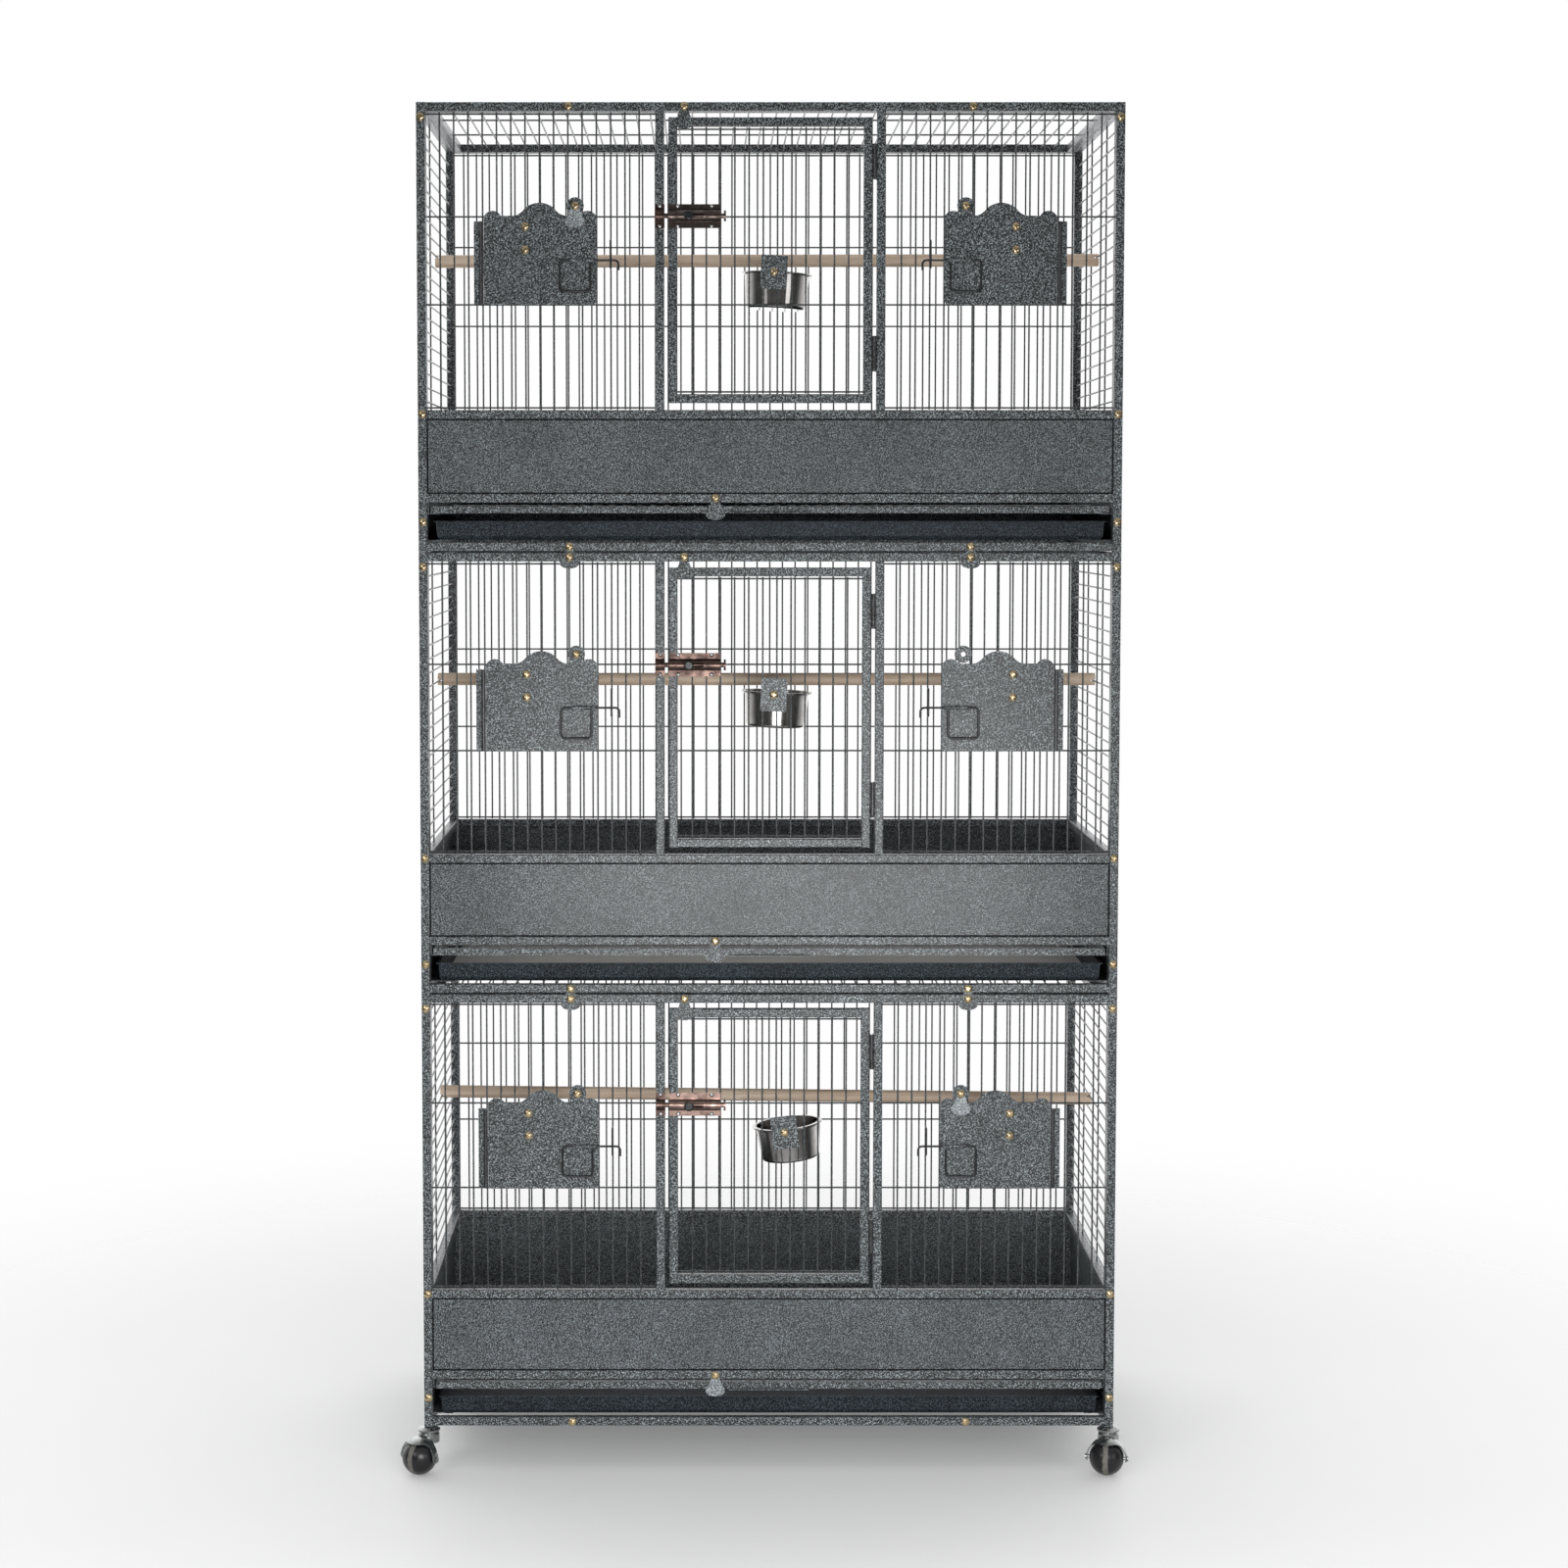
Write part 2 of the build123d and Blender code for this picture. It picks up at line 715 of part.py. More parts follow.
def bolt_slide_rod():
    """Rod with its knob in front and a flat tail at the end."""
    tail = bolt_end + bolt_tail_gap
    rod = rod_x(-stile_x - keeper_width / 2, tail + bolt_tail_sheet, bolt_y, bolt_height, bolt_rod)
    end = rod_x(tail, tail + bolt_tail_sheet, bolt_y, bolt_height, bolt_tail)
    knob_back = bolt_y - bolt_barrel / 2 - bolt_knob_gap
    stem = rod_y(knob_back, bolt_y, knob_x, bolt_height, bolt_knob_stem)
    knob = rod_y(knob_back - bolt_knob_height, knob_back, knob_x, bolt_height, bolt_knob)
    rims = knob.edges().filter_by(GeomType.CIRCLE)
    knob = fillet(rims, bolt_knob_height / 3)
    return [weld([rod, end, stem, knob])]


def bowl(place):
    """Stainless bowl with its welded bracket, clamp plate and screw, hung on the door's wires."""
    x, z, lean = place
    rim = bowl_rim / 2
    top = bowl_top / 2
    base = bowl_base / 2
    lip = bowl_height - 2 * bowl_sheet
    wall_foot = (base, bowl_base_round)
    inner_foot = (base - bowl_sheet, bowl_base_round)
    flat = base - bowl_base_round
    turn = 0.3 * bowl_base_round
    outer_round = ThreePointArc((flat, 0), (base - turn, turn), wall_foot)
    inner_turn = (base - bowl_sheet - turn, bowl_sheet + 0.8 * turn)
    inner_round = ThreePointArc(inner_foot, inner_turn, (flat, bowl_sheet))
    roll = rim - bowl_sheet
    rolled = ThreePointArc((roll, lip - bowl_sheet), (rim, lip), (roll, bowl_height))
    profile = [
        Line((0, 0), (flat, 0)),
        outer_round,
        Polyline(wall_foot, (top, lip), (roll - bowl_sheet, lip), (roll, lip - bowl_sheet)),
        rolled,
        Polyline((roll, bowl_height), (top - bowl_sheet, bowl_height), inner_foot),
        inner_round,
        Line((flat, bowl_sheet), (0, bowl_sheet)),
        Line((0, bowl_sheet), (0, 0)),
    ]
    cup = revolve(Plane.XZ * make_face(profile), axis=Axis.Z)
    bracket_front = wire / 2 + clamp_gap
    bracket_back = bracket_front + bowl_bracket_sheet
    cup_y = bracket_back - weld_bite * 2 + rim
    cup = Pos(bowl_offset, cup_y, bowl_rim_drop - bowl_height) * cup
    half = bowl_bracket / 2
    height = bowl_bracket_height / 2
    bracket = block(-half, half, bracket_front, bracket_back, -height, height)
    bracket = bracket - rod_y(0, bracket_front + bowl_bracket_sheet / 2, 0, 0, screw_shank + 2 * thread_fit)
    plate_back = -wire / 2 - clamp_gap
    half = bowl_plate_width / 2
    height = bowl_plate_height / 2
    plate = block(-half, half, plate_back - tab_sheet, plate_back, -height, height)
    plate = fillet(plate.edges().filter_by(Axis.Y), tab_sheet)
    plate = plate - rod_y(plate_back - 2 * tab_sheet, 0, 0, 0, screw_shank + 2 * thread_fit)
    reach = bracket_front + bowl_bracket_sheet / 2 - plate_back + tab_sheet
    screw = Pos(0, plate_back - tab_sheet, 0) * pan_screw(reach, screw_shank)
    pieces = [weld([cup, bracket]), plate, screw]
    return [Pos(x, front_y, z) * Rot(0, lean, 0) * piece for piece in pieces]


def flap_outline():
    """Scalloped flap seen from the front, with x from the middle of the flap."""
    free = flap_edge - flap_middle
    hinge = flap_outer - flap_middle
    v = flap_valley
    low_edge = v - shoulder_fall
    inset = flap_corner * (1 - 0.5**0.5)
    outline = [
        Line((hinge, low_edge), (hinge, flap_bottom)),
        Line((hinge, flap_bottom), (free + flap_corner, flap_bottom)),
        ThreePointArc((free + flap_corner, flap_bottom), (free + inset, flap_bottom + inset),
                      (free, flap_bottom + flap_corner)),
        Line((free, flap_bottom + flap_corner), (free, low_edge)),
        ThreePointArc((free, low_edge), (free + shoulder_from_edge, v + shoulder_rise),
                      (free + shoulder_width, v)),
        Line((free + shoulder_width, v), (-crest_foot, v)),
    ]
    rise = [
        ThreePointArc((-crest_foot, v), (-crest_sweep, v + crest_sweep_rise),
                      (-crest_half_width, v + crest_shoulder)),
    ]
    crest = ThreePointArc((-crest_half_width, v + crest_shoulder), (0, v + crest_height),
                          (crest_half_width, v + crest_shoulder))
    fall = [mirror(curve, about=Plane.YZ) for curve in rise]
    outline += rise + [crest] + fall
    outline += [
        Line((crest_foot, v), (hinge - shoulder_width, v)),
        ThreePointArc((hinge - shoulder_width, v), (hinge - shoulder_from_edge, v + shoulder_rise),
                      (hinge, low_edge)),
    ]
    return make_face(outline)


def feeder_door():
    """Right-hand feeder flap with its middle knuckle, latch guide, inner plate and screws."""
    plate = Pos(flap_middle, flap_back, 0) * Rot(90, 0, 0) * extrude(flap_outline(), flap_sheet)
    low, high = knuckle_spans(flap_hinge_low, flap_hinge_length)[1]
    tang_back = flap_axis_y + flap_barrel / 2
    tang = block(flap_outer - flap_hinge_gap, flap_hinge_x, tang_back - flap_tang, tang_back, low, high)
    knuckle = rod_z(low, high, flap_hinge_x, flap_axis_y, flap_barrel)
    guide_start = flap_edge + guide_from_edge
    guide_end = guide_start + guide_length
    guide = rod_x(guide_start, guide_end, latch_y, latch_height, guide_outer)
    foot = block(guide_start, guide_end, latch_y, flap_back, latch_height - guide_outer / 4,
                 latch_height + guide_outer / 4)
    flap = weld([plate, tang, knuckle, guide, foot])
    flap = flap - rod_z(low - 1, high + 1, flap_hinge_x, flap_axis_y, flap_pin + 2 * running_fit)
    flap = flap - rod_x(guide_start - 1, guide_end + 1, latch_y, latch_height, guide_bore)
    screw_x = flap_middle + feeder_screw_from_crest
    half = feeder_plate_width / 2
    middle = feeder_plate_height_above_foot
    rise = feeder_plate_height / 2
    inner_back = flap_back + tab_sheet
    inner = block(screw_x - half, screw_x + half, flap_back, inner_back, middle - rise, middle + rise)
    places = [(screw_x, middle - feeder_screw_spread / 2), (screw_x, middle + feeder_screw_spread / 2)]
    hole = screw_shank + 2 * thread_fit
    flap = screw_holes(flap, places, flap_front - 1, flap_back, hole)
    inner = screw_holes(inner, places, flap_back, flap_back + 2 * tab_sheet, hole)
    screws = [Pos(x, flap_front, z) * pan_screw(flap_sheet + 2 * tab_sheet, screw_shank) for x, z in places]
    return [flap, inner, *screws]


def latch():
    """Right-hand latch: one bent wire from the hook, through the guide, round the finger loop."""
    tip = flap_edge - latch_tip
    near = flap_edge + latch_handle_from_edge
    far = near + latch_handle_width
    bottom = latch_height - latch_handle_drop
    y = latch_y
    points = [
        (tip, y, latch_height - latch_tail),
        (tip, y, latch_height),
        (far, y, latch_height),
        (far, y, bottom),
        (near, y, bottom),
        (near, y, latch_height - latch_end_gap),
    ]
    return [bent_wire(points, latch_bend, latch_wire)]


def tray():
    """Sheet pan on the lower ledges, bent in at the foot of its walls, with a narrow brim."""
    base_z = post_foot + tube + tray_lift + slide_gap
    half = inner_x - tray_side_gap - tray_rim
    front = -half_depth + tray_front_gap + tray_rim
    back = inner_y - tray_back_gap - tray_rim
    middle = Pos(0, (front + back) / 2, 0)

    def level(z, inset):
        return Pos(0, 0, z) * middle * Rectangle(2 * (half - inset), back - front - 2 * inset)

    def pan(lift, inset):
        foot = level(base_z + lift, tray_bend_inset + inset)
        knee = level(base_z + tray_bend + lift, tray_flare + inset)
        return loft([foot, knee, level(base_z + tray_height, inset)], ruled=True)

    top = base_z + tray_height
    brim = extrude(level(top - tray_rim_sheet, -tray_rim), tray_rim_sheet)
    return [weld([pan(0, 0), brim]) - pan(sheet, sheet)]


def grate():
    """Sliding wire floor: four bars, front-to-back wires on top and cross wires under those."""
    base = apron_low - tube - grate_drop + slide_gap
    top = base + grate_bar
    half = inner_x - grate_side_gap
    front = -half_depth + grate_front_gap
    back = inner_y - grate_back_gap
    bars = [
        block(-half, half, front, front + grate_bar, base, top),
        block(-half, half, back - grate_bar, back, base, top),
        block(-half, -half + grate_bar, front + grate_bar, back - grate_bar, base, top),
        block(half - grate_bar, half, front + grate_bar, back - grate_bar, base, top),
    ]
    pull = grate_pull_width / 2
    lip = block(-pull, pull, front - grate_pull_reach, front, base, base + sheet)
    wire_z = top + wire / 2 - weld_bite
    first = tray_tab_x + wire_pitch / 2
    reach = half - grate_bar - wire_pitch / 4
    steps = range(-int((reach + first) / wire_pitch), int((reach - first) / wire_pitch) + 1)
    columns = [(first + k * wire_pitch, front + wire, back - wire) for k in steps]
    span = (back - front) / (grate_cross_wires + 1)
    inside = half - grate_bar
    rows = [(front + k * span, -inside, inside) for k in range(1, grate_cross_wires + 1)]
    wires = Pos(0, 0, wire_z) * Rot(-90, 0, 0) * wire_grid(columns, rows, 1)
    return [weld([*bars, lip, wires])]


def perch(ends):
    """Dowel between the side panels, slit at both ends to sit on a side wire."""
    left, right = ends
    half = half_width - perch_end_gap
    tilt = degrees(atan2(left - right, 2 * half))
    dowel = Pos(0, 0, (left + right) / 2) * Rot(0, tilt, 0) * rod_x(-half, half, 0, 0, perch_diameter)
    gap = wire / 2 + perch_slit_play
    low = side_wire_height - gap
    high = side_wire_height + gap
    start = half - perch_slit_depth
    for x0, x1 in ((start, half + 1), (-half - 1, -start)):
        dowel = dowel - block(x0, x1, -perch_diameter, perch_diameter, low, high)
    return dowel


def panel_screws(tier):
    """Screws of one tier: through the posts into the side panels, and through the rails."""
    screw = pan_screw(screw_length, screw_shank)
    places = [(x, z) for x in (-post_x, post_x) for z in post_screw_heights]
    if tier == tier_names[0]:
        places += [(x, bottom_rail_z) for x in (-rail_screw_x, rail_screw_x)]
    if tier == tier_names[-1]:
        places += [(x, top_rail_z) for x in (-rail_screw_x, rail_screw_x)]
    front = [Pos(x, -half_depth, z) * screw for x, z in places]
    post_places = [(x, z) for x in (-post_x, post_x) for z in post_screw_heights]
    back = [Rot(0, 0, 180) * Pos(x, -half_depth, z) * screw for x, z in post_places]
    return front + back


def stacking_plate(x):
    """Pear plate across a seam, with a screw in the rail above and one in the rail below."""
    drop = bottom_rail_z + tube / 2
    screw_zs = (bottom_rail_z, bottom_rail_z - drop)
    plate = Pos(x, -half_depth, bottom_rail_z) * pear_plate()
    places = [(x, z) for z in screw_zs]
    hole = screw_shank + 2 * thread_fit
    plate = screw_holes(plate, places, -half_depth - 2 * tab_sheet, -half_depth + 1, hole)
    screw = pan_screw(screw_length, screw_shank)
    return [plate] + [Pos(x, -half_depth - tab_sheet, z) * screw for z in screw_zs]


def caster_wheel():
    """Ball wheel on the X axis, with a flat tread band and a bore for the axle."""
    radius = caster_ball / 2
    half = caster_ball_width / 2
    band = caster_band / 2
    side = (radius**2 - half**2) ** 0.5
    shoulder = (half + band) / 2
    crown = (radius**2 - shoulder**2) ** 0.5
    groove = 0.6
    bore = caster_axle / 2 + running_fit
    outline = [
        Polyline((-half, bore), (-half, side)),
        ThreePointArc((-half, side), (-shoulder, crown), (-band, (radius**2 - band**2) ** 0.5)),
        Polyline((-band, (radius**2 - band**2) ** 0.5), (-band + groove, radius - groove / 3),
                 (-band + 2 * groove, radius), (band - 2 * groove, radius),
                 (band - groove, radius - groove / 3), (band, (radius**2 - band**2) ** 0.5)),
        ThreePointArc((band, (radius**2 - band**2) ** 0.5), (shoulder, crown), (half, side)),
        Polyline((half, side), (half, bore), (-half, bore)),
    ]
    return revolve(make_face(outline), axis=Axis.X)


def caster_hood(y, z, mouth):
    """Spherical shell round the ball: a cap above the mouth, and a leg down to the axle on either side."""
    inner = caster_ball / 2 + caster_hood_gap
    outer = inner + caster_hood_sheet
    far = 2 * outer
    leg = caster_leg_width / 2
    corner = leg + caster_mouth_bend
    kept = weld([
        block(-far, far, y - far, y + far, mouth, mouth + far),
        block(-far, far, y - corner, y + corner, mouth - caster_mouth_bend, mouth + 1),
        block(-far, far, y - leg, y + leg, z, mouth),
        rod_x(-far, far, y, z, caster_leg_width),
    ])
    for side in (-1, 1):
        bend_y = y + side * corner
        kept = kept - rod_x(-far - 1, far + 1, bend_y, mouth - caster_mouth_bend, 2 * caster_mouth_bend)
    shell = Pos(0, y, z) * (Sphere(outer) - Sphere(inner))
    return shell & kept


def caster_yoke():
    """Stem, flange and hood of a caster, with the wheel's centre at the trail in front of the stem."""
    ball_z = caster_ball / 2
    mouth = ball_z + caster_mouth_rise
    inner = ball_z + caster_hood_gap
    outer = inner + caster_hood_sheet
    top = caster_height - caster_seat_gap
    rim = caster_flange / 2
    low = top - caster_flange_height
    foot = low - caster_collar_drop
    edge = caster_collar / 2
    flange = [
        (0, top), (rim - caster_bevel, top), (rim, top - caster_bevel_drop),
        (rim, top - caster_bevel_drop - caster_flange_edge), (caster_groove / 2, low + caster_groove_rise),
        (edge, low), (edge, foot), (0, foot),
    ]
    collar = revolve(Plane.XZ * make_face(Polyline(*flange, close=True)), axis=Axis.Z)
    collar = collar - Pos(0, -caster_trail, ball_z) * Sphere(inner)
    stem = rod_z(low, caster_height + caster_stem_length, 0, 0, caster_stem)
    axle_hole = rod_x(-2 * outer, 2 * outer, -caster_trail, ball_z, caster_axle)
    hood = weld([caster_hood(-caster_trail, ball_z, mouth), collar, stem]) - axle_hole
    axle_end = outer + caster_axle_head_rise
    axle = rod_x(-axle_end, axle_end, -caster_trail, ball_z, caster_axle)
    heads = [
        rod_x(start, start + caster_axle_head_rise, -caster_trail, ball_z, caster_axle_head)
        for start in (-axle_end, outer)
    ]
    return [hood, weld([axle, *heads])]


def caster_socket():
    """Plug in the foot of a post, bored for the caster's stem."""
    size = tube - 2 * tube_wall - 2 * socket_fit
    plug = Pos(0, 0, socket_length / 2) * Box(size, size, socket_length)
    return plug - rod_z(-1, caster_stem_length + 1, 0, 0, caster_stem + 2 * running_fit)


def raised(solids, tier):
    """Pieces of a tier at their height in the stack."""
    foot = caster_height + tier_names.index(tier) * tier_height
    return [Pos(0, 0, foot) * solid for solid in solids]


def write(name, solids):
    found = [solid for shape in solids for solid in shape.solids()]
    export_step(Compound(found), f"parts/{name}.step")
    print(name, len(found))


os.makedirs("parts", exist_ok=True)

# Fixed panels and hardware
front = front_panel()
for tier in tier_names:
    write(f"front_panel_{tier}", raised(front, tier))
right_side = side_panel()
groups = {
    "back_panels": back_panel(),
    "side_panels": right_side + mirrored(right_side),
    "roof_panels": roof_panel(),
    "bolt_keepers": bolt_keeper(),
}
for name, solids in groups.items():
    write(name, [solid for tier in tier_names for solid in raised(solids, tier)])
write("frame_screws", [solid for tier in tier_names for solid in raised(panel_screws(tier), tier)])
plates = stacking_plate(-rail_screw_x) + stacking_plate(rail_screw_x)
write("stacking_plates", [solid for tier in tier_names[1:] for solid in raised(plates, tier)])
write("perches", [solid for tier in tier_names for solid in raised([perch(perch_ends[tier])], tier)])

# Moving pieces of each tier, the left-hand ones as mirror images
right_flap = feeder_door()
right_latch = latch()
right_tab = flap_turn_tab()
moving = {
    "door": door(),
    "bolt_barrel": bolt_barrel_plate(),
    "bolt_rod": bolt_slide_rod(),
    "feeder_door_right": right_flap,
    "feeder_door_left": mirrored(right_flap),
    "latch_right": right_latch,
    "latch_left": mirrored(right_latch),
    "flap_tab_right": right_tab,
    "flap_tab_left": mirrored(right_tab),
    "door_tab": turn_tab(door_tab_x, -half_depth, top_rail_z),
    "tray_tab": turn_tab(tray_tab_x, -half_depth, low_apron_rail_z),
    "tray": tray(),
    "grate": grate(),
}
# The middle tier has lost its right-hand flap tab: only the ring is left.
lost = {("flap_tab_right", "middle")}
for tier in tier_names:
    for name, solids in moving.items():
        if (name, tier) not in lost:
            write(f"{name}_{tier}", raised(solids, tier))
    write(f"bowl_{tier}", raised(bowl(bowl_places[tier]), tier))

# Casters, each turned about its own stem
yoke = caster_yoke()
wheel = Pos(0, -caster_trail, caster_ball / 2) * caster_wheel()
sockets = []
for corner, turn in caster_turns.items():
    x = post_x if "right" in corner else -post_x
    y = -front_y if "back" in corner else front_y
    place = Pos(x, y, 0) * Rot(0, 0, turn)
    write(f"caster_yoke_{corner}", [place * solid for solid in yoke])
    write(f"caster_wheel_{corner}", [place * wheel])
    sockets.append(Pos(x, y, caster_height) * caster_socket())
write("caster_sockets", sockets)
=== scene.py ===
# %% [markdown]
# # A stacked breeding bird cage
# Three wire cages stand on each other's posts and roll on four ball casters. The metalwork arrives
# as exact solids, so this lesson is about finish: a hammered powder coat, spun steel, old copper,
# brass screws, bare wood, zinc and rubber. Each step says what the real surface is, how it could be
# made, and why it is made this way here. All lengths are in metres.

# %% Load the metalwork
import json
import math

import bpy
import numpy as np
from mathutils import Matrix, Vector

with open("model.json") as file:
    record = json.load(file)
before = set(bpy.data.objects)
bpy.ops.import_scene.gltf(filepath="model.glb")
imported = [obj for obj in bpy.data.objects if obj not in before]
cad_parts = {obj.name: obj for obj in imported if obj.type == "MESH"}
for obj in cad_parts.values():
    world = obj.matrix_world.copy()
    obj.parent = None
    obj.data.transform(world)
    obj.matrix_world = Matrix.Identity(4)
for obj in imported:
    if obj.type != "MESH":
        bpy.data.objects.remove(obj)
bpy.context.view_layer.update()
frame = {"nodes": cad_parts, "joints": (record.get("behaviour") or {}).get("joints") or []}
nodes = frame["nodes"]


# %% [markdown]
# ## Small helpers for node trees
# Every finish below is a node tree. It could be wired by hand in the shader editor, or with many
# lines of "new node, set value, link". A few helpers do the wiring here, so that each finish reads
# like a recipe. Inputs go in by position or by name: a socket is linked, and anything else is stored
# as a plain value. Two more helpers start a reusable group and a material.


# %% Node helpers
def fill(node, inputs):
    """Fills a node's inputs from a list or a dict."""
    pairs = inputs.items() if isinstance(inputs, dict) else enumerate(inputs)
    for key, value in pairs:
        if isinstance(value, bpy.types.NodeSocket):
            node.id_data.links.new(value, node.inputs[key])
        else:
            node.inputs[key].default_value = value


def add_node(tree, kind, inputs=(), **settings):
    """Adds a node to a tree, sets its options and fills its inputs."""
    node = tree.nodes.new(kind)
    for key, value in settings.items():
        setattr(node, key, value)
    fill(node, inputs)
    return node


def start_group(name, inputs, outputs):
    """Starts a shader group of plain numbers, and returns its tree and its two end nodes."""
    tree = bpy.data.node_groups.new(name, "ShaderNodeTree")
    for label, value in inputs.items():
        socket = tree.interface.new_socket(name=label, in_out="INPUT", socket_type="NodeSocketFloat")
        socket.default_value = value
    for label in outputs:
        tree.interface.new_socket(name=label, in_out="OUTPUT", socket_type="NodeSocketFloat")
    return tree, tree.nodes.new("NodeGroupInput"), tree.nodes.new("NodeGroupOutput")


def start_material(name, preview):
    """Starts a material and returns it with its tree and its Principled shader."""
    material = bpy.data.materials.new(name)
    material.use_nodes = True
    material.diffuse_color = (*preview, 1.0)
    return material, material.node_tree, material.node_tree.nodes["Principled BSDF"]


print("helpers ready")

# %% [markdown]
# ## The nodes used most
# Arithmetic on numbers and on vectors, stretching a value from one span to another, mixing two
# colours, noise measured in metres, and dents turn up in nearly every finish. Each could be added
# with its full list of options every time. Here each has a short name and hands back its output
# socket, so that one can go straight into the next.

# %% Everyday nodes
FULL = (0.0, 1.0)
MOST = (0.3, 0.7)  # most values of a noise lie in this span
MIX_FIRST, MIX_SECOND, MIX_RESULT = 6, 7, 2  # the Mix node's colour sockets, by position


def sums(tree, operation, first, second=0.0, clamp=False):
    options = {"operation": operation, "use_clamp": clamp}
    return add_node(tree, "ShaderNodeMath", [first, second], **options).outputs[0]


def vectors(tree, operation, inputs):
    return add_node(tree, "ShaderNodeVectorMath", inputs, operation=operation).outputs[0]


def stretch(tree, value, span, result, smooth=False):
    """Maps a span of values to another span, straight or with eased ends."""
    kind = "SMOOTHSTEP" if smooth else "LINEAR"
    inputs = [value, *span, *result]
    return add_node(tree, "ShaderNodeMapRange", inputs, interpolation_type=kind).outputs[0]


def blend(tree, amount, first, second):
    """Mixes two colours; each is a colour or a socket."""
    first, second = ((*c, 1.0) if isinstance(c, tuple) else c for c in (first, second))
    inputs = {0: amount, MIX_FIRST: first, MIX_SECOND: second}
    return add_node(tree, "ShaderNodeMix", inputs, data_type="RGBA").outputs[MIX_RESULT]


def place_on(tree):
    """Hands out the place on the object, in metres."""
    return add_node(tree, "ShaderNodeTexCoord").outputs["Object"]


def clouds(tree, place, size, detail=3.0, roughness=0.5, stretched=(1.0, 1.0, 1.0)):
    """Noise with blotches of about the given size in metres, longer where stretched is small."""
    scaled = add_node(tree, "ShaderNodeMapping", {"Vector": place, "Scale": stretched}).outputs[0]
    scale = sums(tree, "DIVIDE", 1.0, size) if isinstance(size, bpy.types.NodeSocket) else 1.0 / size
    inputs = {"Vector": scaled, "Scale": scale, "Detail": detail, "Roughness": roughness}
    return add_node(tree, "ShaderNodeTexNoise", inputs).outputs["Fac"]


def dented(tree, height, strength, depth):
    inputs = {"Height": height, "Strength": strength, "Distance": depth}
    return add_node(tree, "ShaderNodeBump", inputs).outputs["Normal"]


print("everyday nodes ready")

# %% [markdown]
# ## Hammered coat, as a shared effect
# The powder coat on this cage has a metallic vein: while it bakes, the paint pulls into small cells,
# and silver flakes gather along their edges. Dark dimples stay in the middle. Real dents would take
# millions of faces, so the coat is a pattern in space, which needs neither faces nor a map of every
# tube. A Voronoi pattern gives cells of the right size, about two millimetres, and a little noise
# bends their walls. Noise is built on a grid, and a flat sheet that lies along the grid would cut it
# at one level only, so the pattern is turned askew first. The group puts out the vein as a mask and
# a slow cloud for uneven coating.

# %% Hammered effect group
ASKEW = (0.7, 0.5, 0.3)  # radians about X, Y and Z
NEAR_WALL = (0.04, 0.3)  # distance from a cell's wall, in cells, over which the silver runs out
RICH_SPOT = (0.46, 0.66)  # noise, from a spot of bare paint to one full of flakes
SILVER = (0.04, 1.35)  # how much silver shows in such spots
HALF = (0.5, 0.5, 0.5)


def hammered_effect():
    values = {"Cell": 0.003, "Wander": 0.9, "Cloud Size": 0.12}
    tree, ins, outs = start_group("hammered_effect", values, ["Vein", "Cloud"])
    place = place_on(tree)
    per_metre = sums(tree, "DIVIDE", 1.0, ins.outputs["Cell"])
    turned = add_node(tree, "ShaderNodeMapping", {"Vector": place, "Rotation": ASKEW}).outputs[0]
    cells = vectors(tree, "SCALE", {0: turned, "Scale": per_metre})
    swirl = {"Vector": cells, "Scale": 0.8, "Detail": 2.0}
    bend = add_node(tree, "ShaderNodeTexNoise", swirl).outputs["Color"]
    centred = vectors(tree, "SUBTRACT", [bend, HALF])
    pushed = vectors(tree, "SCALE", {0: centred, "Scale": ins.outputs["Wander"]})
    warped = vectors(tree, "ADD", [cells, pushed])
    spots = {"Vector": warped, "Scale": 1.0}
    walls = add_node(tree, "ShaderNodeTexVoronoi", spots, feature="DISTANCE_TO_EDGE")
    ridge = stretch(tree, walls.outputs["Distance"], NEAR_WALL, (1.0, 0.0), smooth=True)
    specks = {"Vector": warped, "Scale": 1.1, "Detail": 1.0}
    flakes = add_node(tree, "ShaderNodeTexNoise", specks).outputs["Fac"]
    vein = sums(tree, "MULTIPLY", ridge, stretch(tree, flakes, RICH_SPOT, SILVER, smooth=True))
    fill(outs, {"Vein": vein, "Cloud": clouds(tree, place, ins.outputs["Cloud Size"])})
    return tree


HAMMERED = hammered_effect()
print("group", HAMMERED.name)

# %% [markdown]
# ## Tarnish, as a shared effect
# Copper, brass, zinc and steel all carry patches where fingers and air have dulled them, and very
# fine scratches. Each metal could have its own marks, but the same two layers of noise serve every
# metal at its own size, so they are a group as well.

# %% Tarnish effect group
DULLED = (0.35, 0.68)  # noise, from a clean patch to a fully dulled one
SCRATCHED = (0.15, 1.0, 1.0)  # draws the scratches out along X


def tarnish_effect():
    values = {"Patch Size": 0.01, "Scratch Size": 0.001}
    tree, ins, outs = start_group("tarnish_effect", values, ["Patch", "Scratch"])
    place = place_on(tree)
    patch = clouds(tree, place, ins.outputs["Patch Size"], detail=4.0, roughness=0.6)
    scratch = clouds(tree, place, ins.outputs["Scratch Size"], detail=2.0, stretched=SCRATCHED)
    fill(outs, {"Patch": stretch(tree, patch, DULLED, FULL), "Scratch": scratch})
    return tree


TARNISH = tarnish_effect()
print("group", TARNISH.name)

# %% [markdown]
# ## Painted steel
# Tubes, wires, sheets, flaps and tabs share one kind of coat. The dimples are nearly black and the
# veins a cool silver grey, so from a few steps away the eye mixes them to slate. A plain slate colour
# could stand for that mix, but close up it would look like plastic. So the coat is built from its two
# colours, with duller dimples, fine dents and a clear layer that makes every edge shine.

